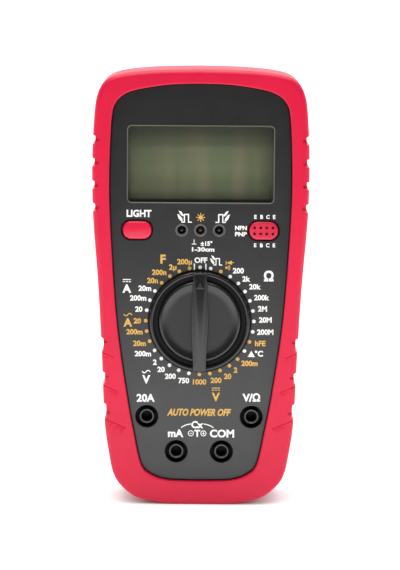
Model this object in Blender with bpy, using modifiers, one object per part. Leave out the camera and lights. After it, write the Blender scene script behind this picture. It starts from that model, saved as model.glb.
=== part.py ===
"""Hand-held digital multimeter in a rubber holster, as an assembly of separate pieces.

Every size below is in millimetres, and MM turns it into Blender's metres. Pieces are
modelled in the meter's own frame: x to the right, y up the face from the foot of the
holster, and z from the back of the holster out towards the user. One empty stands
that frame upright, so the face looks along -Y with +Z up.
"""

import math

import bmesh
import bpy
from mathutils import Matrix, Vector

MM = 0.001

# Fits
FIT = 0.3  # gap between pieces that rest on or fit into each other
RUN = 0.4  # gap between pieces that move past each other

# Holster
HOLSTER_WIDTH = 90.4
HOLSTER_HEIGHT = 183.0
HOLSTER_DEPTH = 38.0
HOLSTER_WALL = 3.0
HOLSTER_BACK = 4.9
HOLSTER_LIP = 3.0
HOLSTER_ROUNDING = 2.2
FOOT_FLAT = 24.0  # width of the flat that the meter stands on
# Outline of the holster: (inset from half the width, rise from the foot).
HOLSTER_FOOT = [(20.0, 2.3), (13.2, 6.9), (9.4, 12.3), (7.4, 21.0), (5.4, 36.0), (4.2, 64.0), (2.7, 92.0)]
# The same towards the top: (inset from half the width, drop from the top).
HOLSTER_HEAD = [(0.5, 62.0), (0.0, 40.0), (0.8, 21.0), (2.1, 11.0), (5.4, 5.0), (12.0, 2.1), (26.0, 0.5)]

# Grip notches in the holster's sides
UPPER_NOTCHES = 4
UPPER_NOTCH_PITCH = 9.4
UPPER_NOTCH_HEIGHT = 3.6
UPPER_NOTCH_DROP = 29.4  # the first one's middle, below the top
LOWER_NOTCHES = 3
LOWER_NOTCH_PITCH = 14.0
LOWER_NOTCH_HEIGHT = 4.4
LOWER_NOTCH_RISE = 38.8  # the lowest one's middle, above the foot
LOWER_NOTCH_SLOPE = 24.0  # degrees
NOTCH_DEPTH = 1.0
NOTCH_FRONT = 2.6  # how far a notch stops below the lip's face

# Opening in the front lip: (inset from half its width, rise from the foot or drop from the top).
OPENING_WIDTH = 76.0
OPENING_RISE = 9.7
OPENING_DROP = 5.9
OPENING_FOOT = [(24.4, 10.2), (17.0, 13.0), (13.4, 17.6), (10.4, 31.4), (7.5, 47.2), (3.2, 78.2)]
OPENING_HEAD = [(0.5, 66.0), (0.0, 43.0), (1.0, 20.0), (2.9, 13.6), (6.8, 10.2), (12.6, 8.3), (25.0, 6.4)]

# Case shells
CASE_WALL = 2.2
FACE_PLATE = 2.5
CASE_ROUNDING = 1.2
PARTING = 19.0  # height of the joint between the two shells
POST_RADIUS = 3.5
POST_HEAD = (27.0, 12.5)  # half spacing, and drop from the top
POST_FOOT = (24.0, 14.0)  # half spacing, and rise from the foot
SCREW_SHANK = 1.25
SCREW_HEAD = 2.6
SCREW_HEAD_HEIGHT = 2.0
CASE_SCREW_BITE = 8.0  # how far the screw runs into the front post

# Circuit board and its screws
BOARD = 1.6
BOARD_DEPTH = 5.6  # below the underside of the face plate
BOARD_EDGE = 1.0  # from the inside of the case
BOSS_RADIUS = 3.0
BOARD_SCREW_SHANK = 1.1
BOARD_SCREW_HEAD = 2.4
BOARD_SCREW_BITE = 3.4
BOARD_SCREW_TOP_DROP = 13.0
BOARD_SCREW_SIDE = (29.0, 57.4)  # half spacing, and rise from the foot

# Display
WINDOW_WIDTH = 61.5
WINDOW_HEIGHT = 33.4
WINDOW_CORNER = 2.0
WINDOW_DROP = 39.6  # the middle of the window, below the top
LENS = 2.0
LENS_SUNK = 0.5
GLASS_BORDER = 2.4  # the display glass past the window, on each side
GLASS = 1.9
BACKLIGHT = 1.5
BACKLIGHT_SHORT = 4.0  # left free under the glass for its contact strip
HOLDER_WALL = 1.5
HOLDER_LEDGE = 0.8
HOLDER_LEDGE_WIDTH = 1.6
STRIP_WIDTH = 2.0

# Row of controls under the display
ROW_DROP = 67.1
KEY_WIDTH = 12.0
KEY_HEIGHT = 7.5
KEY_CORNER = 3.5
KEY_OFFSET = 26.4
KEY_PROUD = 1.4
KEY_TRAVEL = 1.0
KEY_FLANGE = 1.0
SWITCH_SIDE = 6.0
SWITCH_HEIGHT = 2.0
PLUNGER_RADIUS = 1.7
SOCKET_PINS = 4  # in each of two rows
SOCKET_PITCH = 2.54
SOCKET_PIN_RADIUS = 0.45
SOCKET_PIN_DEPTH = 5.0
LAMP_PITCH = 7.8
LAMP_RADIUS = 1.5
LAMP_LENGTH = 4.2
LAMP_SUNK = 1.4
LAMP_RIM = 2.6
LAMP_RIM_DEPTH = 0.9

# Range selector
DIAL_RISE = 77.7
KNOB_RADIUS = 21.3
KNOB_PROUD = 3.0  # above the holster's lip
KNOB_SKIRT = 2.6
KNOB_RIM = 1.6
KNOB_MOAT = 2.4
KNOB_MOAT_DEPTH = 1.3
GRIP_BAR_WIDTH = 5.8
SHAFT_RADIUS = 7.6
SPIGOT_RADIUS = 4.0
ROTOR_RADIUS = 17.0
ROTOR_HEIGHT = 2.9
ROTOR_SCREW_HEAD = 3.0
POSITIONS = 32
DETENT_DEPTH = 0.7
DETENT_WALL = 1.6
BALL_RADIUS = 1.1
SPRING_WIRE = 0.15
SPRING_TURNS = 4
SPRING_LENGTH = 4.0
WIPERS = 3
WIPER_FIRST_RADIUS = 7.5
WIPER_STEP = 3.4
WIPER_WIDTH = 1.4
WIPER_SPAN = 5.0
WIPER_STRIP = 0.35

# Input sockets
JACK_PITCH = 19.05
JACK_ROW_RISE = 22.1
OUTER_JACK_OFFSET = 22.0
OUTER_JACK_RISE = 37.0
SLEEVE_BORE = 2.0
SLEEVE_RADIUS = 2.9
SLEEVE_SUNK = 0.8
SHROUD_BORE = 4.5
SHROUD_RADIUS = 5.2
TAIL_RADIUS = 2.3
TAIL_PROUD = 0.4

# Parts on the back of the board
CHIP_SIDE = 14.0
CHIP_HEIGHT = 2.2
CHIP_RISE = 97.4
TRIMMER_RADIUS = 3.4
TRIMMER_HEIGHT = 4.5
TRIMMER_AT = (22.0, 105.4)
CAPACITOR_RADIUS = 3.1
CAPACITOR_HEIGHT = 9.0
CAPACITOR_AT = (22.0, 119.4)
BUZZER_RADIUS = 11.0
BUZZER_HEIGHT = 5.0
BUZZER_DROP = 40.0
FUSE_RADIUS = 2.55
FUSE_LENGTH = 20.0
FUSE_CAP = 5.0
FUSE_AT = (-14.0, 68.4)
FUSE_DROP = 3.2  # axis of the fuse below the board
CLIP_WIDTH = 4.0
CLIP_STRIP = 0.5
SHUNT_RADIUS = 0.8
SHUNT_SPAN = 16.0
SHUNT_DROP = 6.0
SHUNT_AT = (16.0, 67.4)

# Battery
BATTERY_LENGTH = 48.5
BATTERY_WIDTH = 26.5
BATTERY_THICKNESS = 16.4
BATTERY_AT = (-1.5, 40.6)
SNAP_LENGTH = 20.0
SNAP_THICKNESS = 4.0
SNAP_DEPTH = 12.0
LEAD_RADIUS = 0.6
DOOR_MARGIN = 3.0
DOOR_TAB = 6.0  # past the battery, for the screw
DOOR_CORNER = 2.0
DOOR_SCREW_HEAD_HEIGHT = 1.2
LEDGE_WIDTH = 9.0
LEDGE_HEIGHT = 5.0
DOOR_SCREW_LENGTH = 6.0

# Tilt stand
STAND_WIDTH = 52.0
STAND_LENGTH = 92.0
STAND_THICKNESS = 2.6
STAND_CORNER = 6.0
STAND_HINGE_DROP = 56.0
BARREL_RADIUS = 1.9
PIN_RADIUS = 0.8
PIN_BITE = 3.0
FINGER_NOTCH = 8.0

# Levels that follow from the sizes above, from the back of the holster
OVERALL_DEPTH = HOLSTER_DEPTH + KNOB_PROUD
CASE_BACK = HOLSTER_BACK + FIT
FLOOR = CASE_BACK + CASE_WALL
FACE = HOLSTER_DEPTH - HOLSTER_LIP - FIT
FACE_UNDER = FACE - FACE_PLATE
BOARD_FRONT = FACE_UNDER - BOARD_DEPTH
BOARD_BACK = BOARD_FRONT - BOARD
WINDOW_RISE = HOLSTER_HEIGHT - WINDOW_DROP
ROW_RISE = HOLSTER_HEIGHT - ROW_DROP
STAND_HINGE_RISE = HOLSTER_HEIGHT - STAND_HINGE_DROP
STAND_BACK = 0.2  # the folded stand lies this far inside the back of the holster
HINGE_LEVEL = STAND_BACK + BARREL_RADIUS
THROUGH = 2.0  # how far a cutter runs past what it cuts

# Colours: (red, green, blue), roughness, metallic
RED_RUBBER = ((0.72, 0.03, 0.07), 0.55, 0.0)
DARK_CASE = ((0.055, 0.055, 0.055), 0.5, 0.0)
BLACK_PLASTIC = ((0.015, 0.015, 0.015), 0.4, 0.0)
KNOB_PLASTIC = ((0.045, 0.045, 0.047), 0.42, 0.0)
CLEAR_PLASTIC = ((0.75, 0.78, 0.72), 0.08, 0.0)
DISPLAY_GREEN = ((0.20, 0.21, 0.14), 0.25, 0.0)
WHITE_PLASTIC = ((0.8, 0.8, 0.78), 0.5, 0.0)
GREY_RUBBER = ((0.12, 0.12, 0.12), 0.7, 0.0)
BOARD_GREEN = ((0.02, 0.13, 0.05), 0.45, 0.0)
STEEL = ((0.55, 0.55, 0.56), 0.3, 1.0)
NICKEL = ((0.5, 0.49, 0.46), 0.35, 1.0)
BRASS = ((0.6, 0.42, 0.14), 0.35, 1.0)
COPPER = ((0.55, 0.27, 0.13), 0.4, 1.0)
CLEAR_GLASS = ((0.85, 0.88, 0.88), 0.05, 0.0)
BATTERY_JACKET = ((0.06, 0.09, 0.2), 0.35, 0.2)
CAPACITOR_JACKET = ((0.03, 0.05, 0.16), 0.35, 0.0)
LAMP_CLEAR = ((0.35, 0.36, 0.4), 0.12, 0.0)
LAMP_AMBER = ((0.5, 0.2, 0.03), 0.15, 0.0)


# Scene and objects


def clear_scene():
    """Empty the file and give it one collection for the parts and one for the cutters."""
    for old in list(bpy.data.objects):
        bpy.data.objects.remove(old, do_unlink=True)
    made = []
    for name in ("digital_multimeter", "cutters"):
        collection = bpy.data.collections.new(name)
        bpy.context.scene.collection.children.link(collection)
        made.append(collection)
    return made


PARTS, CUTTERS = clear_scene()


def axis_empty(name, parent=None, at=(0.0, 0.0, 0.0)):
    """An empty at a point of its parent's frame, in millimetres."""
    empty = bpy.data.objects.new(name, None)
    PARTS.objects.link(empty)
    empty.parent = parent
    empty.location = Vector(at) * MM
    return empty


METER = axis_empty("meter_frame", at=(0.0, OVERALL_DEPTH / 2, 0.0))
METER.rotation_euler = (math.radians(90), 0.0, 0.0)
SELECTOR = axis_empty("selector_axis", METER, (0.0, DIAL_RISE, FACE))
KEY = axis_empty("light_key_axis", METER, (-KEY_OFFSET, ROW_RISE, FACE))
STAND = axis_empty("stand_axis", METER, (0.0, STAND_HINGE_RISE, HINGE_LEVEL))


def material(look):
    """The material of a (colour, roughness, metallic) look, made once."""
    colour, roughness, metallic = look
    name = "finish_" + "_".join(f"{round(c * 1000)}" for c in (*colour, roughness, metallic))
    found = bpy.data.materials.get(name)
    if found:
        return found
    made = bpy.data.materials.new(name)
    made.use_nodes = True
    shader = made.node_tree.nodes["Principled BSDF"]
    shader.inputs["Base Color"].default_value = (*colour, 1.0)
    shader.inputs["Roughness"].default_value = roughness
    shader.inputs["Metallic"].default_value = metallic
    return made


def part(obj, name, look, parent=METER, smooth_angle=35.0):
    """Make a mesh object a named piece of the meter."""
    obj.name = name
    obj.data.name = name
    for collection in list(obj.users_collection):
        collection.objects.unlink(obj)
    PARTS.objects.link(obj)
    obj.parent = parent
    obj.data.materials.clear()
    obj.data.materials.append(material(look))
    obj.data.shade_smooth()
    obj.data.set_sharp_from_angle(angle=math.radians(smooth_angle))
    return obj


def cutter(obj, name, parent=METER):
    """Make a mesh object a helper that cuts or joins and isn't itself a piece."""
    obj.name = name
    for collection in list(obj.users_collection):
        collection.objects.unlink(obj)
    CUTTERS.objects.link(obj)
    obj.parent = parent
    obj.hide_render = True
    obj.display_type = "WIRE"
    return obj


def boolean(obj, other, operation="DIFFERENCE"):
    """Cut a helper out of a piece, or join it on."""
    modifier = obj.modifiers.new(other.name, "BOOLEAN")
    modifier.operation = operation
    modifier.object = other
    return obj


def rounded(obj, width, segments, angle=50.0):
    """Round the sharp edges of a piece."""
    modifier = obj.modifiers.new("rounding", "BEVEL")
    modifier.width = width * MM
    modifier.segments = segments
    modifier.limit_method = "ANGLE"
    modifier.angle_limit = math.radians(angle)
    modifier.use_clamp_overlap = True
    return obj


# Shapes


def mesh_object(mesh, name="shape"):
    obj = bpy.data.objects.new(name, mesh)
    CUTTERS.objects.link(obj)
    return obj


def prism(loops, low, high):
    """A flat plate with the outline and holes of the given loops, between two levels."""
    curve = bpy.data.curves.new("outline", "CURVE")
    curve.dimensions = "2D"
    curve.fill_mode = "BOTH"
    curve.extrude = (high - low) / 2 * MM
    for loop in loops:
        spline = curve.splines.new("POLY")
        spline.points.add(len(loop) - 1)
        spline.use_cyclic_u = True
        for point, (x, y) in zip(spline.points, loop):
            point.co = (x * MM, y * MM, 0.0, 1.0)
    flat = bpy.data.objects.new("outline", curve)
    CUTTERS.objects.link(flat)
    flat.location.z = (low + high) / 2 * MM
    bpy.context.view_layer.update()
    evaluated = flat.evaluated_get(bpy.context.evaluated_depsgraph_get())
    mesh = bpy.data.meshes.new_from_object(evaluated)
    mesh.transform(flat.matrix_world)
    bpy.data.objects.remove(flat, do_unlink=True)
    bpy.data.curves.remove(curve)
    solid = bmesh.new()
    solid.from_mesh(mesh)
    bmesh.ops.remove_doubles(solid, verts=solid.verts, dist=0.001 * MM)
    if len(loops) == 1:
        solid.normal_update()
        inner_edges = [e for e in solid.edges if all(abs(f.normal.z) > 0.99 for f in e.link_faces)]
        bmesh.ops.dissolve_edges(solid, edges=inner_edges)
    bmesh.ops.recalc_face_normals(solid, faces=solid.faces)
    solid.to_mesh(mesh)
    solid.free()
    return mesh_object(mesh)


def turned(profile, steps=32, at=(0.0, 0.0), closed=False):
    """A solid of revolution about z from (radius, level) points that run down its outer side."""
    mesh = bpy.data.meshes.new("profile")
    count = len(profile)
    edges = [(i, i + 1) for i in range(count - 1)]
    if closed:
        edges.append((count - 1, 0))
    mesh.from_pydata([(r * MM, 0.0, z * MM) for r, z in profile], edges, [])
    obj = mesh_object(mesh)
    screw = obj.modifiers.new("turn", "SCREW")
    screw.axis = "Z"
    screw.steps = steps
    screw.render_steps = steps
    screw.use_merge_vertices = True
    screw.merge_threshold = 0.00001
    obj.location = (at[0] * MM, at[1] * MM, 0.0)
    return obj


def as_mesh(obj, at_location=True):
    """The evaluated mesh of a shape as a new object without modifiers."""
    bpy.context.view_layer.update()
    evaluated = obj.evaluated_get(bpy.context.evaluated_depsgraph_get())
    mesh = bpy.data.meshes.new_from_object(evaluated)
    if at_location:
        mesh.transform(obj.matrix_world)
    bpy.data.objects.remove(obj, do_unlink=True)
    solid = bmesh.new()
    solid.from_mesh(mesh)
    bmesh.ops.remove_doubles(solid, verts=solid.verts, dist=0.001 * MM)
    bmesh.ops.recalc_face_normals(solid, faces=solid.faces)
    solid.to_mesh(mesh)
    solid.free()
    return mesh_object(mesh)


def cylinders(places, low, high, steps=20):
    """Upright cylinders at (x, y, radius) places, as one helper of separate bodies."""
    solid = bmesh.new()
    for x, y, radius in places:
        bmesh.ops.create_cone(
            solid,
            cap_ends=True,
            segments=steps,
            radius1=radius * MM,
            radius2=radius * MM,
            depth=(high - low) * MM,
            matrix=Matrix.Translation(Vector((x, y, (low + high) / 2)) * MM),
        )
    mesh = bpy.data.meshes.new("cylinders")
    solid.to_mesh(mesh)
    solid.free()
    return mesh_object(mesh)


def block(size, centre):
    """A box of a size about a centre."""
    solid = bmesh.new()
    stretch = Matrix.Diagonal((*(Vector(size) * MM), 1.0))
    bmesh.ops.create_cube(solid, size=1.0, matrix=Matrix.Translation(Vector(centre) * MM) @ stretch)
    mesh = bpy.data.meshes.new("block")
    solid.to_mesh(mesh)
    solid.free()
    return mesh_object(mesh)


def wire(points, radius, resolution=1):
    """A round wire along points, with closed ends."""
    curve = bpy.data.curves.new("wire", "CURVE")
    curve.dimensions = "3D"
    curve.bevel_depth = radius * MM
    curve.bevel_resolution = resolution
    curve.use_fill_caps = True
    spline = curve.splines.new("POLY")
    spline.points.add(len(points) - 1)
    for target, point in zip(spline.points, points):
        target.co = (*(Vector(point) * MM), 1.0)
    obj = bpy.data.objects.new("wire", curve)
    CUTTERS.objects.link(obj)
    return as_mesh(obj)


def joined(objects):
    """Several shapes as one helper of separate bodies."""
    solid = bmesh.new()
    for obj in objects:
        solid.from_mesh(obj.data)
        bpy.data.objects.remove(obj, do_unlink=True)
    mesh = bpy.data.meshes.new("joined")
    solid.to_mesh(mesh)
    solid.free()
    return mesh_object(mesh)


def rounded_rectangle(width, height, corner, at=(0.0, 0.0), steps=4):
    """Points of a rectangle with round corners."""
    loop = []
    for turn in range(4):
        cx = (width / 2 - corner) * (1 if turn in (0, 3) else -1)
        cy = (height / 2 - corner) * (1 if turn in (0, 1) else -1)
        for step in range(steps + 1):
            angle = math.radians(90 * (turn + step / steps))
            loop.append((at[0] + cx + corner * math.cos(angle), at[1] + cy + corner * math.sin(angle)))
    return loop


def tongue(width, length, corner, top=0.0, steps=4):
    """Points of a strip that hangs from a level, square at its top and round at its lower corners."""
    loop = [(width / 2, top), (-width / 2, top)]
    for side, first in ((-1, 180), (1, 270)):
        for step in range(steps + 1):
            angle = math.radians(first + 90 * step / steps)
            x = side * (width / 2 - corner) + corner * math.cos(angle)
            loop.append((x, top - length + corner + corner * math.sin(angle)))
    return loop


def circle(radius, at=(0.0, 0.0), steps=20):
    """Points of a circle."""
    angles = [2 * math.pi * i / steps for i in range(steps)]
    return [(at[0] + radius * math.cos(a), at[1] + radius * math.sin(a)) for a in angles]


# Outlines


def smooth_through(points, steps):
    """Points along a smooth curve through the given ones, ends included."""
    ends = [points[0], *points, points[-1]]
    found = []
    for i in range(1, len(ends) - 2):
        a, b, c, d = (Vector(p) for p in ends[i - 1 : i + 3])
        for step in range(steps):
            t = step / steps
            bend = (2 * a - 5 * b + 4 * c - d) * t**2
            twist = (3 * b - a - 3 * c + d) * t**3
            found.append(0.5 * (2 * b + (c - a) * t + bend + twist))
    found.append(Vector(points[-1]))
    return found


def mirrored_outline(right_half, inset):
    """A closed outline from its right half, foot to top, moved inwards by an inset."""
    loop = [Vector(p) for p in right_half]
    loop += [Vector((-p.x, p.y)) for p in reversed(right_half) if p.x > 1e-6]
    count = len(loop)
    moved = []
    for i, point in enumerate(loop):
        along = (loop[(i + 1) % count] - loop[i - 1]).normalized()
        moved.append(tuple(point + Vector((-along.y, along.x)) * inset))
    return moved


def holster_outline(inset=0.0, steps=2):
    """The holster's outline, or a parallel one inside it."""
    half = HOLSTER_WIDTH / 2
    stations = [(FOOT_FLAT / 2, 0.0)]
    stations += [(half - x, y) for x, y in HOLSTER_FOOT]
    stations += [(half - x, HOLSTER_HEIGHT - y) for x, y in HOLSTER_HEAD]
    stations.append((0.0, HOLSTER_HEIGHT))
    return mirrored_outline(smooth_through(stations, steps), inset)


def opening_outline(inset=0.0, steps=2):
    """The outline of the opening in the holster's front lip."""
    half = OPENING_WIDTH / 2
    stations = [(0.0, OPENING_RISE)]
    stations += [(half - x, y) for x, y in OPENING_FOOT]
    stations += [(half - x, HOLSTER_HEIGHT - y) for x, y in OPENING_HEAD]
    stations.append((0.0, HOLSTER_HEIGHT - OPENING_DROP))
    return mirrored_outline(smooth_through(stations, steps), inset)


CASE_INSET = HOLSTER_WALL + FIT
CAVITY_INSET = CASE_INSET + CASE_WALL

POSTS = [(side * POST_HEAD[0], HOLSTER_HEIGHT - POST_HEAD[1]) for side in (-1, 1)]
POSTS += [(side * POST_FOOT[0], POST_FOOT[1]) for side in (-1, 1)]
BOSSES = [(0.0, HOLSTER_HEIGHT - BOARD_SCREW_TOP_DROP)]
BOSSES += [(side * BOARD_SCREW_SIDE[0], BOARD_SCREW_SIDE[1]) for side in (-1, 1)]
JACKS = {
    "20a": (-OUTER_JACK_OFFSET, OUTER_JACK_RISE),
    "ma": (-JACK_PITCH / 2, JACK_ROW_RISE),
    "com": (JACK_PITCH / 2, JACK_ROW_RISE),
    "volt": (OUTER_JACK_OFFSET, OUTER_JACK_RISE),
}
LAMPS = {"receiver_diode": -LAMP_PITCH, "indicator_lamp": 0.0, "emitter_diode": LAMP_PITCH}
DOOR_WIDTH = BATTERY_LENGTH + 2 * DOOR_MARGIN + SNAP_THICKNESS
DOOR_HEIGHT = BATTERY_WIDTH + 2 * DOOR_MARGIN + DOOR_TAB
DOOR_AT = (BATTERY_AT[0] + SNAP_THICKNESS / 2, BATTERY_AT[1] + DOOR_TAB / 2)
DOOR_SCREW_AT = (DOOR_AT[0], DOOR_AT[1] + DOOR_HEIGHT / 2 - DOOR_TAB / 2)


# Holster and stand


def notch_cutters():
    """Slots across the holster's two sides, level above and slanted below."""
    made = []
    reach = 6.0
    level = (HOLSTER_DEPTH - NOTCH_FRONT) / 2
    slots = [
        (HOLSTER_HEIGHT - UPPER_NOTCH_DROP - i * UPPER_NOTCH_PITCH, UPPER_NOTCH_HEIGHT, 0.0)
        for i in range(UPPER_NOTCHES)
    ]
    slots += [
        (LOWER_NOTCH_RISE + i * LOWER_NOTCH_PITCH, LOWER_NOTCH_HEIGHT, LOWER_NOTCH_SLOPE)
        for i in range(LOWER_NOTCHES)
    ]
    outline = holster_outline()
    for rise, height, slope in slots:
        edge = min((p for p in outline if p[0] > 0), key=lambda p: abs(p[1] - rise))[0]
        for side in (-1, 1):
            slot = block((2 * reach, height, HOLSTER_DEPTH - NOTCH_FRONT), (0.0, 0.0, 0.0))
            turn = Matrix.Rotation(math.radians(side * slope), 4, "Z")
            place = Vector((side * (edge + reach - NOTCH_DEPTH), rise, level)) * MM
            slot.data.transform(Matrix.Translation(place) @ turn)
            made.append(slot)
    return cutter(joined(made), "grip_notches")


def holster():
    """The rubber boot round the case, open at the front, with a bed for the stand behind."""
    boot = part(prism([holster_outline()], 0.0, HOLSTER_DEPTH), "holster", RED_RUBBER)
    rounded(boot, HOLSTER_ROUNDING, 3)
    cavity = prism([holster_outline(HOLSTER_WALL)], HOLSTER_BACK, HOLSTER_DEPTH - HOLSTER_LIP)
    boolean(boot, cutter(cavity, "holster_cavity"))
    opening = prism([opening_outline()], HOLSTER_DEPTH - HOLSTER_LIP - 1.0, HOLSTER_DEPTH + THROUGH)
    boolean(boot, cutter(opening, "front_opening"))
    boolean(boot, notch_cutters())
    bed = tongue(STAND_WIDTH + 2 * RUN, STAND_LENGTH + RUN, STAND_CORNER + RUN, STAND_HINGE_RISE)
    boolean(boot, cutter(prism([bed], -THROUGH, STAND_BACK + STAND_THICKNESS + FIT), "stand_bed"))
    slot_height = 2 * (BARREL_RADIUS + RUN)
    slot_depth = HINGE_LEVEL + BARREL_RADIUS + FIT
    slot = block(
        (STAND_WIDTH + 2 * RUN, slot_height, slot_depth + THROUGH),
        (0.0, STAND_HINGE_RISE, (slot_depth - THROUGH) / 2),
    )
    boolean(boot, cutter(slot, "hinge_slot"))
    foot_of_stand = (0.0, STAND_HINGE_RISE - STAND_LENGTH)
    nail = prism([circle(FINGER_NOTCH, foot_of_stand)], -THROUGH, STAND_BACK + STAND_THICKNESS + FIT)
    boolean(boot, cutter(nail, "finger_notch"))
    bore = STAND_WIDTH + 2 * (PIN_BITE + FIT)
    hole = cylinders([(0.0, 0.0, PIN_RADIUS + FIT)], -bore / 2, bore / 2, 12)
    hinge_line = Matrix.Translation(Vector((0.0, STAND_HINGE_RISE, HINGE_LEVEL)) * MM)
    hole.data.transform(hinge_line @ Matrix.Rotation(math.radians(90), 4, "Y"))
    boolean(boot, cutter(hole, "pin_holes"))


def tilt_stand():
    """The folding prop on the back, with its hinge barrel, and the pin that it turns on."""
    plate_low = STAND_BACK - HINGE_LEVEL
    plate = tongue(STAND_WIDTH, STAND_LENGTH, STAND_CORNER)
    stand = part(prism([plate], plate_low, plate_low + STAND_THICKNESS), "tilt_stand", RED_RUBBER, STAND)
    turn = Matrix.Rotation(math.radians(90), 4, "Y")
    barrel = cylinders([(0.0, 0.0, BARREL_RADIUS)], -STAND_WIDTH / 2, STAND_WIDTH / 2, 20)
    barrel.data.transform(turn)
    boolean(stand, cutter(barrel, "stand_barrel", STAND), "UNION")
    bore = cylinders([(0.0, 0.0, PIN_RADIUS + FIT)], -STAND_WIDTH, STAND_WIDTH, 12)
    bore.data.transform(turn)
    boolean(stand, cutter(bore, "stand_bore", STAND))
    pin = cylinders([(0.0, 0.0, PIN_RADIUS)], -STAND_WIDTH / 2 - PIN_BITE, STAND_WIDTH / 2 + PIN_BITE, 12)
    pin.data.transform(Matrix.Translation(Vector((0.0, STAND_HINGE_RISE, HINGE_LEVEL)) * MM) @ turn)
    part(pin, "stand_pin", STEEL)


# Case


def front_case():
    """The front shell: the printed face, its openings, and the posts behind it."""
    shell = part(prism([holster_outline(CASE_INSET)], PARTING, FACE), "front_case", DARK_CASE)
    cavity = prism([holster_outline(CAVITY_INSET)], PARTING - THROUGH, FACE_UNDER)
    boolean(shell, cutter(cavity, "front_cavity"))
    posts = cylinders([(x, y, POST_RADIUS) for x, y in POSTS], PARTING, FACE_UNDER + 1.0)
    bosses = cylinders([(x, y, BOSS_RADIUS) for x, y in BOSSES], BOARD_FRONT + FIT, FACE_UNDER + 1.0)
    boolean(shell, cutter(joined([posts, bosses]), "front_posts"), "UNION")
    above, below = FACE + THROUGH, FACE_UNDER - THROUGH
    window = rounded_rectangle(WINDOW_WIDTH, WINDOW_HEIGHT, WINDOW_CORNER, (0.0, WINDOW_RISE))
    lamp_holes = [(x, ROW_RISE, LAMP_RADIUS + FIT) for x in LAMPS.values()]
    openings = [
        prism([window], below, above),
        cylinders([(0.0, DIAL_RISE, SHAFT_RADIUS + RUN)], below, above, 24),
        cylinders([(x, y, SHROUD_RADIUS + FIT) for x, y in JACKS.values()], below, above),
        cylinders(lamp_holes, below, FACE - 0.5 * LAMP_RIM_DEPTH, 12),
    ]
    for side in (-1, 1):
        key_hole = rounded_rectangle(
            KEY_WIDTH + 2 * RUN, KEY_HEIGHT + 2 * RUN, KEY_CORNER + RUN, (side * KEY_OFFSET, ROW_RISE)
        )
        openings.append(prism([key_hole], below, above))
    boolean(shell, cutter(joined(openings), "face_openings"))
    rims = cylinders([(x, ROW_RISE, LAMP_RIM) for x in LAMPS.values()], FACE - LAMP_RIM_DEPTH, above, 12)
    boolean(shell, cutter(rims, "lamp_rims"))
    case_holes = [(x, y, SCREW_SHANK + FIT) for x, y in POSTS]
    case_bores = cylinders(case_holes, PARTING - THROUGH, PARTING + CASE_SCREW_BITE + FIT, 10)
    board_holes = [(x, y, BOARD_SCREW_SHANK + FIT) for x, y in BOSSES]
    board_bores = cylinders(board_holes, BOARD_FRONT, BOARD_FRONT + BOARD_SCREW_BITE + FIT, 10)
    boolean(shell, cutter(joined([case_bores, board_bores]), "front_bores"))


def rear_case():
    """The rear shell, with its screw posts and the opening for the battery door."""
    rim = PARTING - FIT
    shell = part(prism([holster_outline(CASE_INSET)], CASE_BACK, rim), "rear_case", DARK_CASE)
    cavity = prism([holster_outline(CAVITY_INSET)], FLOOR, rim + THROUGH)
    boolean(shell, cutter(cavity, "rear_cavity"))
    posts = cylinders([(x, y, POST_RADIUS) for x, y in POSTS], FLOOR - 1.0, rim)
    ledge = block(
        (LEDGE_WIDTH, 2 * DOOR_TAB, LEDGE_HEIGHT + FIT + 1.0),
        (DOOR_SCREW_AT[0], DOOR_SCREW_AT[1] + DOOR_TAB / 2, FLOOR + (LEDGE_HEIGHT + FIT - 1.0) / 2),
    )
    boolean(shell, cutter(joined([posts, ledge]), "rear_posts"), "UNION")
    door_hole = rounded_rectangle(DOOR_WIDTH + 2 * FIT, DOOR_HEIGHT + 2 * FIT, DOOR_CORNER + FIT, DOOR_AT)
    boolean(shell, cutter(prism([door_hole], CASE_BACK - THROUGH, FLOOR + FIT), "door_opening"))
    head_holes = [(x, y, SCREW_HEAD + FIT) for x, y in POSTS]
    head_seat = CASE_BACK + SCREW_HEAD_HEIGHT + 2 * FIT
    boolean(shell, cutter(cylinders(head_holes, CASE_BACK - THROUGH, head_seat, 12), "screw_heads"))
    bores = cylinders([(x, y, SCREW_SHANK + FIT) for x, y in POSTS], CASE_BACK, rim + THROUGH, 10)
    pilot_end = CASE_BACK + DOOR_SCREW_LENGTH + 2 * FIT
    pilot = cylinders([(*DOOR_SCREW_AT, SCREW_SHANK + FIT)], FLOOR - THROUGH, pilot_end, 10)
    boolean(shell, cutter(joined([bores, pilot]), "rear_bores"))


def screw(name, at, head_level, head_radius, head_height, shank_radius, tip_level):
    """A pan-head screw that enters from the back and points at the face."""
    profile = [
        (0.0, tip_level),
        (shank_radius * 0.5, tip_level),
        (shank_radius, tip_level - 1.0),
        (shank_radius, head_level + head_height),
        (head_radius, head_level + head_height),
        (head_radius, head_level + 0.3 * head_height),
        (head_radius * 0.8, head_level),
        (0.0, head_level),
    ]
    part(as_mesh(turned(profile, 12, at)), name, STEEL)


def fasteners():
    for number, at in enumerate(POSTS, 1):
        screw(
            f"case_screw_{number}",
            at,
            CASE_BACK + FIT,
            SCREW_HEAD,
            SCREW_HEAD_HEIGHT,
            SCREW_SHANK,
            PARTING + CASE_SCREW_BITE,
        )
    head = 1.8
    for number, at in enumerate(BOSSES, 1):
        screw(
            f"board_screw_{number}",
            at,
            BOARD_BACK - FIT - head,
            BOARD_SCREW_HEAD,
            head,
            BOARD_SCREW_SHANK,
            BOARD_FRONT + BOARD_SCREW_BITE,
        )
    screw(
        "battery_door_screw",
        DOOR_SCREW_AT,
        CASE_BACK + FIT / 3,
        SCREW_HEAD,
        DOOR_SCREW_HEAD_HEIGHT,
        SCREW_SHANK,
        CASE_BACK + DOOR_SCREW_LENGTH,
    )


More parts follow.
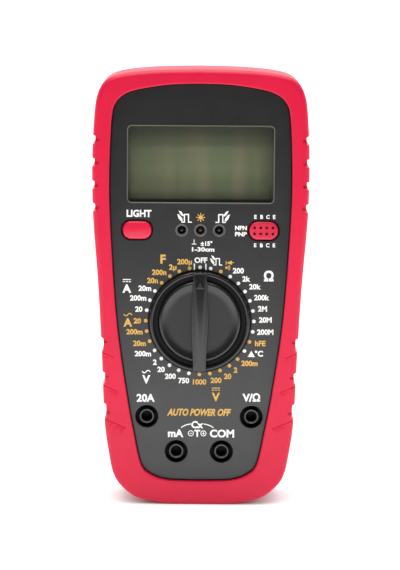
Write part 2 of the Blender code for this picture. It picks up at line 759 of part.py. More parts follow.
def battery_door():
    """The cover over the battery, held by one screw."""
    outline = rounded_rectangle(DOOR_WIDTH, DOOR_HEIGHT, DOOR_CORNER, DOOR_AT)
    screw_hole = circle(SCREW_SHANK + FIT, DOOR_SCREW_AT, 12)
    door = part(prism([outline, screw_hole], CASE_BACK, FLOOR), "battery_door", DARK_CASE)
    sink = cylinders(
        [(*DOOR_SCREW_AT, SCREW_HEAD + FIT)],
        CASE_BACK - THROUGH,
        CASE_BACK + DOOR_SCREW_HEAD_HEIGHT + 0.5 * FIT + FIT,
        16,
    )
    boolean(door, cutter(sink, "door_screw_sink"))


# Display


def display():
    """Window, display glass, backlight, contact strip and the tray that holds them."""
    lens_high = FACE - LENS_SUNK
    lens = rounded_rectangle(
        WINDOW_WIDTH - 2 * FIT, WINDOW_HEIGHT - 2 * FIT, WINDOW_CORNER - FIT, (0.0, WINDOW_RISE)
    )
    part(prism([lens], lens_high - LENS, lens_high), "display_window", CLEAR_PLASTIC)
    glass_width = WINDOW_WIDTH + 2 * GLASS_BORDER
    glass_height = WINDOW_HEIGHT + 2 * GLASS_BORDER
    tray_low = BOARD_FRONT + FIT
    light_low = tray_low + HOLDER_LEDGE + FIT
    glass_low = light_low + BACKLIGHT + FIT
    part(
        block((glass_width, glass_height, GLASS), (0.0, WINDOW_RISE, glass_low + GLASS / 2)),
        "lcd_glass",
        DISPLAY_GREEN,
    )
    part(
        block(
            (glass_width, glass_height - BACKLIGHT_SHORT, BACKLIGHT),
            (0.0, WINDOW_RISE + BACKLIGHT_SHORT / 2, light_low + BACKLIGHT / 2),
        ),
        "backlight_panel",
        WHITE_PLASTIC,
    )
    outer = (glass_width + 2 * (FIT + HOLDER_WALL), glass_height + 2 * (FIT + HOLDER_WALL))
    inner = (glass_width + 2 * FIT, glass_height + 2 * FIT)
    mouth = (inner[0] - 2 * HOLDER_LEDGE_WIDTH, inner[1] - 2 * HOLDER_LEDGE_WIDTH)
    corner = 1.0
    loops = [rounded_rectangle(*size, corner, (0.0, WINDOW_RISE), 2) for size in (outer, mouth)]
    tray = part(prism(loops, tray_low, FACE_UNDER - FIT), "lcd_holder", WHITE_PLASTIC)
    room = block(
        (*inner, FACE_UNDER),
        (0.0, WINDOW_RISE, tray_low + HOLDER_LEDGE + FACE_UNDER / 2),
    )
    boolean(tray, cutter(room, "holder_room"))
    strip_low, strip_high = BOARD_FRONT + FIT, glass_low - FIT
    strip_rise = WINDOW_RISE - inner[1] / 2 + HOLDER_LEDGE_WIDTH + FIT + STRIP_WIDTH / 2
    part(
        block(
            (glass_width - 4 * HOLDER_LEDGE_WIDTH, STRIP_WIDTH, strip_high - strip_low),
            (0.0, strip_rise, (strip_low + strip_high) / 2),
        ),
        "contact_strip",
        GREY_RUBBER,
    )


# Board and what it carries


def main_board():
    """The circuit board, with holes for the posts, the screws and the sockets' tails."""
    loops = [holster_outline(CAVITY_INSET + BOARD_EDGE)]
    loops += [circle(POST_RADIUS + FIT, at, 16) for at in POSTS]
    loops += [circle(BOARD_SCREW_SHANK + FIT, at, 12) for at in BOSSES]
    loops += [circle(TAIL_RADIUS + FIT, at, 16) for at in JACKS.values()]
    part(prism(loops, BOARD_BACK, BOARD_FRONT), "main_board", BOARD_GREEN)


def board_parts():
    """The larger components on the back of the board."""
    top = BOARD_BACK - FIT
    part(
        block((CHIP_SIDE, CHIP_SIDE, CHIP_HEIGHT), (0.0, CHIP_RISE, top - CHIP_HEIGHT / 2)),
        "measuring_chip",
        BLACK_PLASTIC,
    )
    trimmer_body = cylinders([(*TRIMMER_AT, TRIMMER_RADIUS)], top - TRIMMER_HEIGHT, top, 16)
    trimmer = part(trimmer_body, "calibration_trimmer", WHITE_PLASTIC)
    slit = block((4.0, 0.8, 1.6), (*TRIMMER_AT, top - TRIMMER_HEIGHT))
    boolean(trimmer, cutter(slit, "trimmer_slot"))
    part(
        as_mesh(
            turned(
                [
                    (0.0, top),
                    (CAPACITOR_RADIUS, top),
                    (CAPACITOR_RADIUS, top - CAPACITOR_HEIGHT + 0.4),
                    (CAPACITOR_RADIUS - 0.4, top - CAPACITOR_HEIGHT),
                    (0.0, top - CAPACITOR_HEIGHT),
                ],
                20,
                CAPACITOR_AT,
            )
        ),
        "filter_capacitor",
        CAPACITOR_JACKET,
    )
    buzzer_at = (0.0, HOLSTER_HEIGHT - BUZZER_DROP)
    buzzer_body = cylinders([(*buzzer_at, BUZZER_RADIUS)], top - BUZZER_HEIGHT, top, 24)
    buzzer = part(buzzer_body, "buzzer", BLACK_PLASTIC)
    vent = cylinders([(*buzzer_at, 1.5)], top - BUZZER_HEIGHT - THROUGH, top - BUZZER_HEIGHT + 1.5, 12)
    boolean(buzzer, cutter(vent, "buzzer_vent"))


def fuse():
    """The cartridge fuse across the back of the board, in two spring clips."""
    x, y = FUSE_AT
    level = BOARD_BACK - FIT - FUSE_RADIUS - FUSE_DROP + CLIP_STRIP
    across = Matrix.Translation(Vector((x, y, level)) * MM) @ Matrix.Rotation(math.radians(90), 4, "Y")
    half = FUSE_LENGTH / 2
    tube = cylinders([(0.0, 0.0, FUSE_RADIUS - 0.25)], FUSE_CAP + FIT - half, half - FUSE_CAP - FIT, 16)
    tube.data.transform(across)
    part(tube, "fuse_tube", CLEAR_GLASS)
    for name, side in (("left", -1), ("right", 1)):
        low, high = sorted((side * half, side * (half - FUSE_CAP)))
        cap = cylinders([(0.0, 0.0, FUSE_RADIUS)], low, high, 16)
        cap.data.transform(across)
        part(cap, f"fuse_cap_{name}", NICKEL)
        cheek = FUSE_RADIUS + FIT + CLIP_STRIP
        clip_top = BOARD_BACK - FIT
        clip_low = level - 0.5 * FUSE_RADIUS
        clip_x = x + side * (half - FUSE_CAP / 2)
        clip = part(
            block((CLIP_WIDTH, 2 * cheek, clip_top - clip_low), (clip_x, y, (clip_top + clip_low) / 2)),
            f"fuse_clip_{name}",
            BRASS,
        )
        seat = cylinders([(0.0, 0.0, FUSE_RADIUS + FIT)], -FUSE_LENGTH, FUSE_LENGTH, 16)
        seat.data.transform(across)
        boolean(clip, cutter(seat, f"fuse_seat_{name}"))
        mouth = block(
            (FUSE_LENGTH, 2 * (FUSE_RADIUS + FIT) * 0.9, FUSE_RADIUS * 2), (clip_x, y, level - FUSE_RADIUS)
        )
        boolean(clip, cutter(mouth, f"fuse_mouth_{name}"))


def current_shunt():
    """The thick bare wire bridge that carries the high-current range."""
    x, y = SHUNT_AT
    top = BOARD_BACK - FIT
    low = top - SHUNT_DROP
    bend = 1.5
    half = SHUNT_SPAN / 2
    steps = 4
    left = [(x - half, y, top)]
    for i in range(steps + 1):
        angle = math.radians(90 * i / steps)
        left.append((x - half + bend * (1 - math.cos(angle)), y, low + bend * (1 - math.sin(angle))))
    right = [(2 * x - px, py, pz) for px, py, pz in reversed(left)]
    part(wire(left + right, SHUNT_RADIUS), "current_shunt", COPPER)


def battery():
    """The 9 volt block, its snap connector and the two leads up to the board."""
    low = FLOOR + FIT
    x, y = BATTERY_AT
    block_middle = low + BATTERY_THICKNESS / 2
    cell_body = block((BATTERY_LENGTH, BATTERY_WIDTH, BATTERY_THICKNESS), (x, y, block_middle))
    cell = part(cell_body, "battery", BATTERY_JACKET)
    rounded(cell, 1.5, 2)
    snap_x = x + BATTERY_LENGTH / 2 + FIT + SNAP_THICKNESS / 2
    snap_body = block((SNAP_THICKNESS, SNAP_LENGTH, SNAP_DEPTH), (snap_x, y, block_middle))
    snap = part(snap_body, "battery_snap", BLACK_PLASTIC)
    rounded(snap, 1.0, 2)
    foot = snap_x + SNAP_THICKNESS / 2 + FIT
    top = BOARD_BACK - FIT
    bulge = 3.0
    for name, look, offset in (
        ("red", RED_RUBBER, 4.0),
        ("black", BLACK_PLASTIC, -4.0),
    ):
        route = [
            (foot, y + offset, block_middle),
            (foot + 1.2, y + offset, block_middle),
            (foot + bulge, y + offset, block_middle + 2.5),
            (foot + bulge, y + offset, top - 2.5),
            (foot + bulge, y + offset, top),
        ]
        smooth = [tuple(p) for p in smooth_through(route, 3)]
        part(wire(smooth, LEAD_RADIUS), f"battery_lead_{name}", look)


# Sockets, lamps and key


def input_sockets():
    """Four shrouded sockets: a metal sleeve on the board inside a plastic tube."""
    base = BOARD_FRONT + FIT
    sleeve_top = FACE - SLEEVE_SUNK
    floor = base + 2.0
    for name, at in JACKS.items():
        sleeve = [
            (SLEEVE_BORE, sleeve_top),
            (SLEEVE_RADIUS - 0.3, sleeve_top),
            (SLEEVE_RADIUS, sleeve_top - 0.3),
            (SLEEVE_RADIUS, base),
            (TAIL_RADIUS, base),
            (TAIL_RADIUS, BOARD_BACK - TAIL_PROUD),
            (0.0, BOARD_BACK - TAIL_PROUD),
            (0.0, base + 0.4),
            (SLEEVE_BORE, base + 0.4),
        ]
        open_profile = [(0.0, base + 0.4), (SLEEVE_BORE, base + 0.4), *sleeve[:7]]
        part(as_mesh(turned(open_profile, 16, at)), f"jack_sleeve_{name}", NICKEL)
        tube = [
            (SHROUD_RADIUS, FACE + FIT),
            (SHROUD_RADIUS, base),
            (SLEEVE_RADIUS + FIT, base),
            (SLEEVE_RADIUS + FIT, floor),
            (SHROUD_BORE, floor),
            (SHROUD_BORE, FACE + FIT),
        ]
        part(as_mesh(turned(tube, 20, at, closed=True)), f"jack_shroud_{name}", BLACK_PLASTIC)


def transistor_socket():
    """The red eight-hole socket beside the display's lamps."""
    at = (KEY_OFFSET, ROW_RISE)
    top = FACE + 0.5
    body = part(
        prism([rounded_rectangle(KEY_WIDTH, KEY_HEIGHT, KEY_CORNER, at)], BOARD_FRONT + FIT, top),
        "transistor_socket",
        RED_RUBBER,
    )
    rounded(body, 0.6, 2)
    places = []
    for row in (-1, 1):
        for i in range(SOCKET_PINS):
            x = at[0] + (i - (SOCKET_PINS - 1) / 2) * SOCKET_PITCH
            places.append((x, at[1] + row * SOCKET_PITCH / 2, SOCKET_PIN_RADIUS))
    boolean(body, cutter(cylinders(places, top - SOCKET_PIN_DEPTH, top + THROUGH, 8), "socket_holes"))


def lamps():
    """Three small round diodes behind the holes under the display."""
    top = FACE - LAMP_SUNK
    base = top - LAMP_LENGTH - LAMP_RADIUS
    dome = 4
    for name, x in LAMPS.items():
        profile = [
            (
                LAMP_RADIUS * math.sin(math.radians(90 * i / dome)),
                top - LAMP_RADIUS * (1 - math.cos(math.radians(90 * i / dome))),
            )
            for i in range(dome + 1)
        ]
        flange = FACE_UNDER - FIT
        brim = LAMP_RADIUS + 0.6
        profile += [(LAMP_RADIUS, flange), (brim, flange), (brim, base), (0.0, base)]
        look = LAMP_AMBER if name == "indicator_lamp" else LAMP_CLEAR
        part(as_mesh(turned(profile, 12, (x, ROW_RISE))), name, look)


def light_key():
    """The backlight key, the switch under it and the switch's own plunger."""
    flange_high = FACE_UNDER - FACE - FIT
    flange_low = flange_high - KEY_FLANGE
    cap = part(
        prism([rounded_rectangle(KEY_WIDTH, KEY_HEIGHT, KEY_CORNER)], flange_low, KEY_PROUD),
        "light_key",
        RED_RUBBER,
        KEY,
    )
    rounded(cap, 0.9, 2)
    collar = prism(
        [rounded_rectangle(KEY_WIDTH + 2.4, KEY_HEIGHT + 2.4, KEY_CORNER + 1.2)], flange_low, flange_high
    )
    boolean(cap, cutter(collar, "key_flange", KEY), "UNION")
    switch_low = BOARD_FRONT + FIT
    switch_high = switch_low + SWITCH_HEIGHT
    switch_at = (-KEY_OFFSET, ROW_RISE, (switch_low + switch_high) / 2)
    switch_body = block((SWITCH_SIDE, SWITCH_SIDE, SWITCH_HEIGHT), switch_at)
    switch = part(switch_body, "light_switch", BLACK_PLASTIC)
    well_low = switch_high - KEY_TRAVEL - 2 * FIT
    well = cylinders([(-KEY_OFFSET, ROW_RISE, PLUNGER_RADIUS + RUN)], well_low, switch_high + THROUGH, 16)
    boolean(switch, cutter(well, "switch_well"))
    plunger_high = flange_low - FIT
    plunger_low = well_low + KEY_TRAVEL + FIT - FACE
    plunger = cylinders([(0.0, 0.0, PLUNGER_RADIUS)], plunger_low, plunger_high, 16)
    part(plunger, "switch_plunger", GREY_RUBBER, KEY)


# Range selector, about its own axis with z = 0 at the face


def selector_knob():
    """The knob: a rimmed disc with a raised middle, a bar to turn it by, and its shaft."""
    high = HOLSTER_DEPTH + KNOB_PROUD - FACE
    skirt_low = FIT
    rim_high = skirt_low + KNOB_SKIRT
    moat_low = rim_high - KNOB_MOAT_DEPTH
    rim_in = KNOB_RADIUS - KNOB_RIM
    plateau = rim_in - KNOB_MOAT
    shaft_low = FACE_UNDER - FACE - FIT
    spigot_low = shaft_low - ROTOR_HEIGHT
    profile = [
        (0.0, rim_high),
        (plateau - 1.2, rim_high),
        (plateau, moat_low + 0.2),
        (rim_in - 0.6, moat_low),
        (rim_in, rim_high),
        (KNOB_RADIUS - 0.5, rim_high),
        (KNOB_RADIUS, rim_high - 0.8),
        (KNOB_RADIUS, skirt_low),
        (SHAFT_RADIUS, skirt_low),
        (SHAFT_RADIUS, shaft_low),
        (SPIGOT_RADIUS, shaft_low),
        (SPIGOT_RADIUS, spigot_low),
        (0.0, spigot_low),
    ]
    knob = part(as_mesh(turned(profile, 40)), "selector_knob", KNOB_PLASTIC, SELECTOR)
    bar_length = 2 * math.sqrt((KNOB_RADIUS - 0.6) ** 2 - (GRIP_BAR_WIDTH / 2) ** 2)
    bar_low = moat_low - 0.3
    bar = block((GRIP_BAR_WIDTH, bar_length, high - bar_low), (0.0, 0.0, (high + bar_low) / 2))
    rounded(bar, 0.7, 2)
    boolean(knob, cutter(bar, "grip_bar", SELECTOR), "UNION")
    pilot = cylinders([(0.0, 0.0, SCREW_SHANK + FIT)], spigot_low - THROUGH, spigot_low + 5.0, 12)
    boolean(knob, cutter(pilot, "knob_pilot", SELECTOR))


def selector_rotor():
    """The disc behind the face that carries the wipers and the two detent balls."""
    high = FACE_UNDER - FACE - FIT - FIT
    low = high - ROTOR_HEIGHT + 2 * FIT
    middle = (high + low) / 2
    rotor = part(
        prism([circle(ROTOR_RADIUS, steps=40), circle(SPIGOT_RADIUS + FIT, steps=20)], low, high),
        "selector_rotor",
        WHITE_PLASTIC,
        SELECTOR,
    )
    pocket_radius = BALL_RADIUS + FIT
    pocket_in = ROTOR_RADIUS - SPRING_LENGTH - BALL_RADIUS
    for name, side in (("a", -1), ("b", 1)):
        turn = Matrix.Rotation(math.radians(side * 90), 4, "Y")
        lift = Matrix.Translation(Vector((0.0, 0.0, middle)) * MM)
        pocket_size = (2 * pocket_radius, 2 * pocket_radius, 2 * (ROTOR_RADIUS - pocket_in))
        pocket = block(pocket_size, (0.0, 0.0, ROTOR_RADIUS))
        pocket.data.transform(lift @ turn)
        boolean(rotor, cutter(pocket, f"ball_pocket_{name}", SELECTOR))
        ball_at = ROTOR_RADIUS - BALL_RADIUS + 0.5
        solid = bmesh.new()
        bmesh.ops.create_uvsphere(
            solid,
            u_segments=10,
            v_segments=6,
            radius=BALL_RADIUS * MM,
            matrix=lift @ turn @ Matrix.Translation(Vector((0.0, 0.0, ball_at)) * MM),
        )
        mesh = bpy.data.meshes.new("ball")
        solid.to_mesh(mesh)
        solid.free()
        part(mesh_object(mesh), f"detent_ball_{name}", STEEL, SELECTOR)
        start = pocket_in + SPRING_WIRE + FIT
        end = ball_at - BALL_RADIUS - SPRING_WIRE - FIT
        coil = BALL_RADIUS - SPRING_WIRE - 0.1
        points_per_turn = 7
        count = SPRING_TURNS * points_per_turn
        points = [
            (
                coil * math.cos(2 * math.pi * i / points_per_turn),
                coil * math.sin(2 * math.pi * i / points_per_turn),
                start + (end - start) * i / count,
            )
            for i in range(count + 1)
        ]
        spring = wire(points, SPRING_WIRE, 0)
        spring.data.transform(lift @ turn)
        part(spring, f"detent_spring_{name}", STEEL, SELECTOR)
    wiper_high = low - FIT
    board_level = BOARD_FRONT - FACE
    for number in range(WIPERS):
        radius = WIPER_FIRST_RADIUS + number * WIPER_STEP
        arch = [
            (-WIPER_SPAN / 2, wiper_high),
            (0.0, board_level + FIT + WIPER_STRIP),
            (WIPER_SPAN / 2, wiper_high),
        ]
        under = [(x, z - WIPER_STRIP) for x, z in reversed(arch)]
        shape = prism([[*arch, *under]], radius - WIPER_WIDTH / 2, radius + WIPER_WIDTH / 2)
        shape.data.transform(Matrix.Rotation(math.radians(90), 4, "X"))
        shape.data.transform(Matrix.Rotation(math.radians(120 * number + 180), 4, "Z"))
        part(shape, f"wiper_contact_{number + 1}", BRASS, SELECTOR)
    screw_top = FACE_UNDER - FACE - FIT - ROTOR_HEIGHT - FIT
    head = 1.2
    profile = [
        (0.0, screw_top + 4.0),
        (SCREW_SHANK, screw_top + 3.5),
        (SCREW_SHANK, screw_top),
        (ROTOR_SCREW_HEAD, screw_top),
        (ROTOR_SCREW_HEAD, screw_top - head),
        (0.0, screw_top - head),
    ]
    part(as_mesh(turned(profile, 16)), "rotor_screw", STEEL, SELECTOR)


def detent_ring():
    """The notched ring behind the face that the balls click round."""
    crest = ROTOR_RADIUS + 0.5 + RUN
    steps = 3
    inner = []
    for i in range(POSITIONS * steps):
        angle = 2 * math.pi * i / (POSITIONS * steps)
        depth = DETENT_DEPTH * 0.5 * (1 + math.cos(POSITIONS * angle))
        radius = crest + depth
        inner.append((radius * math.cos(angle), DIAL_RISE + radius * math.sin(angle)))
    outer = circle(crest + DETENT_DEPTH + DETENT_WALL, (0.0, DIAL_RISE), 48)
    high = FACE_UNDER - FIT
    part(prism([outer, inner], high - ROTOR_HEIGHT, high), "detent_ring", WHITE_PLASTIC)


def main():
    holster()
    tilt_stand()
    front_case()
    rear_case()
    fasteners()
    battery_door()
    display()
    main_board()
    board_parts()
    fuse()
    current_shunt()
    battery()
    input_sockets()
    transistor_socket()
    lamps()
    light_key()
    selector_knob()
    selector_rotor()
    detent_ring()


main()
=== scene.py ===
"""Looks of a hand-held digital multimeter that stands in a red rubber holster.

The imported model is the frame. Sizes are millimetres in the meter's own frame: x to the
right, y up the face from the foot, z from the back of the holster towards the user.
Finishes, floor and lights are in metres.
"""
import logging
import math
from dataclasses import dataclass
from enum import Enum
from typing import Callable, Sequence

import bmesh
import bpy
from mathutils import Matrix, Vector


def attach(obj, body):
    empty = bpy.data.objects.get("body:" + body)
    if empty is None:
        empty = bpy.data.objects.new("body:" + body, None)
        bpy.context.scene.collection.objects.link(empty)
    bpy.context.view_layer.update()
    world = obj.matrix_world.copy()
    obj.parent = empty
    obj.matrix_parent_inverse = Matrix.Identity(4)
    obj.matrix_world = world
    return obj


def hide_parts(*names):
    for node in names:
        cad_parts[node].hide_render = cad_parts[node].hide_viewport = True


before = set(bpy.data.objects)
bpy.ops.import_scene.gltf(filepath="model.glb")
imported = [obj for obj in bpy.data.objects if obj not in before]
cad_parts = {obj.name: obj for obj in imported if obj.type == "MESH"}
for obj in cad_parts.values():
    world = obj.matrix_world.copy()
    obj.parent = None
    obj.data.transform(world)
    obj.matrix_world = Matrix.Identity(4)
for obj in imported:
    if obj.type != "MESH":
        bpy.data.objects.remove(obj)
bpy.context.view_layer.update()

LOG = logging.getLogger("multimeter")

Pair = tuple[float, float]
Triple = tuple[float, float, float]
Loop = list[Vector]
Piece = bpy.types.Object
Socket = bpy.types.NodeSocket

MM = 0.001
FACE = 34.7
FACE_UNDER = 32.2
DEPTH_CENTRE = 20.5
TO_WORLD = Matrix(((MM, 0, 0, 0), (0, 0, -MM, DEPTH_CENTRE * MM), (0, MM, 0, 0), (0, 0, 0, 1)))
MIDDLE: Pair = (0.0, 0.0)
SHARP_ANGLE = 32.0
CRISP_ANGLE = 20.0
WELD = 0.0005
AXIS_RADIUS = 0.02
TINY = 1e-9
NOISE_DETAIL = 3.0
LEAST_ROUGHNESS = 0.02
WHITE_LIGHT = (1.0, 1.0, 1.0, 1.0)


class Body(Enum):
    """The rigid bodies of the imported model."""

    METER = "meter"
    SELECTOR = "range_selector"
    KEY = "light_key"
    STAND = "tilt_stand"


class Ink(Enum):
    """The two colours of the printed face."""

    WHITE = "white"
    AMBER = "amber"


class Operation(Enum):
    """What is done with two shader values."""

    ADD = "ADD"
    MULTIPLY = "MULTIPLY"


class Way(Enum):
    """How the way to a cell's middle is measured: straight, or along the axes."""

    STRAIGHT = "EUCLIDEAN"
    STEPPED = "MANHATTAN"


class Place(Enum):
    """Which coordinates a shader reads: the object's own, or a direction in the room."""

    OBJECT = "Object"
    DIRECTION = "Generated"


# Finishes


class Nodes:
    """The shader nodes of a material or of the room."""

    def __init__(self, owner: bpy.types.Material | bpy.types.World) -> None:
        """Open the owner's nodes.

        Args:
            owner: The material or the world.
        """
        owner.use_nodes = True
        self.tree = owner.node_tree

    def add(self, kind: str, values: dict[str, float | Triple] | None = None) -> bpy.types.Node:
        """Add a node and set its constants.

        Args:
            kind: The kind of shader node.
            values: The constants by input.

        Returns:
            The node.
        """
        node = self.tree.nodes.new(f"ShaderNode{kind}")
        for name, value in (values or {}).items():
            node.inputs[name].default_value = value
        return node

    def link(self, source: Socket, node: bpy.types.Node, name: str | int) -> None:
        """Link a socket to a node's input."""
        self.tree.links.new(source, node.inputs[name])

    def axes(self, place: Place) -> bpy.types.Node:
        """Split a place into its three coordinates.

        Args:
            place: Which coordinates to read.

        Returns:
            The node, with outputs X, Y and Z.
        """
        split = self.add("SeparateXYZ")
        self.link(self.add("TexCoord").outputs[place.value], split, "Vector")
        return split

    def noise(self, where: Socket, size: float) -> Socket:
        """Add a noise whose patches have a size.

        Args:
            where: The coordinates to read.
            size: Patch size in metres.

        Returns:
            The noise's value.
        """
        node = self.add("TexNoise", {"Scale": 1.0 / size, "Detail": NOISE_DETAIL})
        self.link(where, node, "Vector")
        return node.outputs[0]

    def cells(self, where: Socket, size: float, way: Way = Way.STRAIGHT) -> Socket:
        """Add cells of a size.

        Args:
            where: The coordinates to read.
            size: Cell size in metres.
            way: How the way to a cell's middle is measured.

        Returns:
            The distance to the nearest cell's middle.
        """
        node = self.add("TexVoronoi", {"Scale": 1.0 / size})
        node.distance = way.value
        self.link(where, node, "Vector")
        return node.outputs["Distance"]

    def blend(self, factor: Socket, first: Triple, second: Triple, span: Pair = (0.3, 0.7)) -> Socket:
        """Mix two colours by a factor.

        Args:
            factor: What drives the mix.
            first: Colour at the span's start.
            second: Colour at the span's end.
            span: The factors between which the colour changes.

        Returns:
            The mixed colour.
        """
        node = self.add("ValToRGB")
        for stop, place, colour in zip(node.color_ramp.elements, span, (first, second)):
            stop.color = (*colour, 1.0)
            stop.position = place
        self.link(factor, node, "Fac")
        return node.outputs["Color"]

    def fade(self, value: Socket, span: Pair, stops: Sequence[Pair]) -> Socket:
        """Give the share of light at a place.

        Args:
            value: The coordinate to read.
            span: The coordinates at the two edges.
            stops: Place between the edges and share of light, in turn.

        Returns:
            The share.
        """
        along = self.add("MapRange", {"From Min": span[0], "From Max": span[1]})
        self.link(value, along, "Value")
        node = self.add("ValToRGB")
        node.color_ramp.interpolation = "EASE"
        elements = node.color_ramp.elements
        for i, (place, share) in enumerate(stops):
            stop = elements[i] if i < 2 else elements.new(place)
            stop.position = place
            stop.color = (share, share, share, 1.0)
        self.link(along.outputs["Result"], node, "Fac")
        return node.outputs["Color"]

    def dimmed(self, colour: Socket, share: Socket) -> Socket:
        """Dim a colour by a share.

        Args:
            colour: The colour.
            share: The share of light.

        Returns:
            The dimmed colour.
        """
        node = self.add("Mix", {"Factor": 1.0})
        node.data_type = "RGBA"
        node.blend_type = "MULTIPLY"
        first_colour, second_colour, mixed_colour = 6, 7, 2
        self.link(colour, node, first_colour)
        self.link(share, node, second_colour)
        return node.outputs[mixed_colour]

    def ramp(self, value: Socket, span: Pair, results: Pair) -> Socket:
        """Map a value smoothly from one span to another.

        Args:
            value: The value to read.
            span: The values between which the result changes.
            results: The results at the span's two ends.

        Returns:
            The result.
        """
        limits = {"From Min": span[0], "From Max": span[1], "To Min": results[0], "To Max": results[1]}
        node = self.add("MapRange", limits)
        node.interpolation_type = "SMOOTHSTEP"
        self.link(value, node, "Value")
        return node.outputs["Result"]

    def combine(self, operation: Operation, first: Socket, second: Socket) -> Socket:
        """Add or multiply two values.

        Args:
            operation: What is done with the two values.
            first: The first value.
            second: The second value.

        Returns:
            The result.
        """
        node = self.add("Math")
        node.operation = operation.value
        self.link(first, node, 0)
        self.link(second, node, 1)
        return node.outputs["Value"]


@dataclass(frozen=True)
class Finish:
    """A surface finish that can make its own procedural material.

    Lengths are metres: mottle_size and grain_size are the sizes of the colour
    patches and of the surface grain, and grain is the grain's height. The patches
    of sheen are smaller than those of colour by sheen_share.
    """

    name: str
    slot: str
    colour: Triple
    roughness: float = 0.5
    metallic: float = 0.0
    mottle: float = 0.08
    mottle_size: float = 0.012
    sheen_share: float = 0.6
    grain: float = 0.00002
    grain_size: float = 0.0005
    spread: float = 0.06
    specular: float = 0.5
    coat: float = 0.0
    coat_roughness: float = 0.2
    alpha: float = 1.0
    stretch: Triple = (1.0, 1.0, 1.0)

    def material(self) -> bpy.types.Material:
        """Make the finish's material, once.

        Returns:
            The material, with a Principled shader driven by noise.
        """
        name = f"{self.name}_finish"
        found = bpy.data.materials.get(name)
        if found:
            return found
        made = bpy.data.materials.new(name)
        nodes = Nodes(made)
        shader = nodes.tree.nodes["Principled BSDF"]
        shader.inputs["Metallic"].default_value = self.metallic
        shader.inputs["Specular IOR Level"].default_value = self.specular
        shader.inputs["Coat Weight"].default_value = self.coat
        shader.inputs["Coat Roughness"].default_value = self.coat_roughness
        shader.inputs["Alpha"].default_value = self.alpha
        mapping = nodes.add("Mapping", {"Scale": self.stretch})
        nodes.link(nodes.add("TexCoord").outputs[Place.OBJECT.value], mapping, "Vector")
        where = mapping.outputs["Vector"]
        nodes.link(self.tint(nodes, where), shader, "Base Color")
        smoothest = max(LEAST_ROUGHNESS, self.roughness - self.spread)
        roughest = min(1.0, self.roughness + self.spread)
        rough = nodes.add("MapRange", {"To Min": smoothest, "To Max": roughest})
        nodes.link(nodes.noise(where, self.mottle_size * self.sheen_share), rough, "Value")
        nodes.link(rough.outputs["Result"], shader, "Roughness")
        bump = nodes.add("Bump", {"Distance": self.grain})
        nodes.link(self.relief(nodes, where), bump, "Height")
        nodes.link(bump.outputs["Normal"], shader, "Normal")
        return made

    def tint(self, nodes: Nodes, where: Socket) -> Socket:
        """Give the finish's colour with soft patches.

        Args:
            nodes: The material's nodes.
            where: The coordinates to read.

        Returns:
            The colour.
        """
        dark = tuple(c * (1.0 - self.mottle) for c in self.colour)
        light = tuple(min(1.0, c * (1.0 + self.mottle)) for c in self.colour)
        return nodes.blend(nodes.noise(where, self.mottle_size), dark, light)

    def relief(self, nodes: Nodes, where: Socket) -> Socket:
        """Give the height of the surface grain."""
        return nodes.noise(where, self.grain_size)


@dataclass(frozen=True)
class CellularFinish(Finish):
    """A moulded surface with a spark-eroded texture of tiny pits."""

    def relief(self, nodes: Nodes, where: Socket) -> Socket:
        """Give the height of the pits."""
        return nodes.cells(where, self.grain_size)


@dataclass(frozen=True)
class LayeredFinish(Finish):
    """A finish with a second colour in bands or tracks, such as a board's copper."""

    second: Triple = (0.1, 0.1, 0.1)
    band: float = 0.004

    def tint(self, nodes: Nodes, where: Socket) -> Socket:
        """Give the banded colour."""
        return nodes.blend(nodes.cells(where, self.band, Way.STEPPED), self.second, self.colour)


@dataclass(frozen=True)
class DisplayFinish(Finish):
    """Liquid-crystal glass with painted light: soft vertical brownish streaks are painted reflections, and
    painted shade darkens the glass at its top and bottom under the window's frame and towards its sides.
    """

    reflection_tint: Triple = (0.196, 0.172, 0.102)
    band: Pair = (0.43, 0.73)
    rise: Pair = (0.1272, 0.1596)
    half_width: float = 0.0285
    frame_shade_stops: Sequence[Pair] = (
        (0.0, 0.03), (0.03, 0.04), (0.06, 0.46), (0.22, 0.77), (0.45, 1.0),
        (0.66, 0.92), (0.8, 0.5), (0.9, 0.3), (1.0, 0.21),
    )
    side_shade_stops: Sequence[Pair] = (
        (0.0, 0.66), (0.1, 0.8), (0.3, 0.92), (0.5, 1.0), (0.7, 0.96), (0.9, 0.78), (1.0, 0.55),
    )

    def tint(self, nodes: Nodes, where: Socket) -> Socket:
        """Give the colour of the bands, which are painted reflections, darkened by painted shade by height
        and towards the sides.

        Args:
            nodes: The material's nodes.
            where: The coordinates to read.

        Returns:
            The colour.
        """
        axes = nodes.axes(Place.OBJECT)
        # Painted reflections: soft vertical brownish streaks mixed into the glass colour.
        bands = nodes.blend(nodes.noise(where, self.mottle_size), self.colour, self.reflection_tint, self.band)
        # Painted shade: darker at the top and bottom under the window's frame, and towards the sides.
        frame_shade = nodes.fade(axes.outputs["Z"], self.rise, self.frame_shade_stops)
        across = nodes.fade(axes.outputs["X"], (-self.half_width, self.half_width), self.side_shade_stops)
        return nodes.dimmed(nodes.dimmed(bands, frame_shade), across)


RUBBER = CellularFinish(
    "holster_rubber", "red_rubber", (0.66, 0.0050, 0.044), 0.38, specular=0.34, mottle=0.03, grain=0.00001)
STAND_RUBBER = CellularFinish("stand_rubber", "red_rubber", (0.50, 0.008, 0.034), 0.5, mottle=0.04)
KEY_RED = Finish("key_red", "red_rubber", (0.70, 0.006, 0.048), 0.32, grain=0.000004, coat=0.05)
SOCKET_RED = Finish("socket_red", "red_rubber", (0.60, 0.010, 0.048), 0.36, grain=0.000004)
CASE = CellularFinish(
    "case_plastic", "dark_case", (0.013, 0.013, 0.0131), 0.3, specular=0.6, grain=0.000005,
    grain_size=0.00045)
# A lighter copy of the case plastic: painted highlight on the window's raised frame.
TRIM_HIGHLIGHT = Finish("window_trim_highlight", "dark_case", (0.13, 0.135, 0.115), 0.3, grain=0.000004)
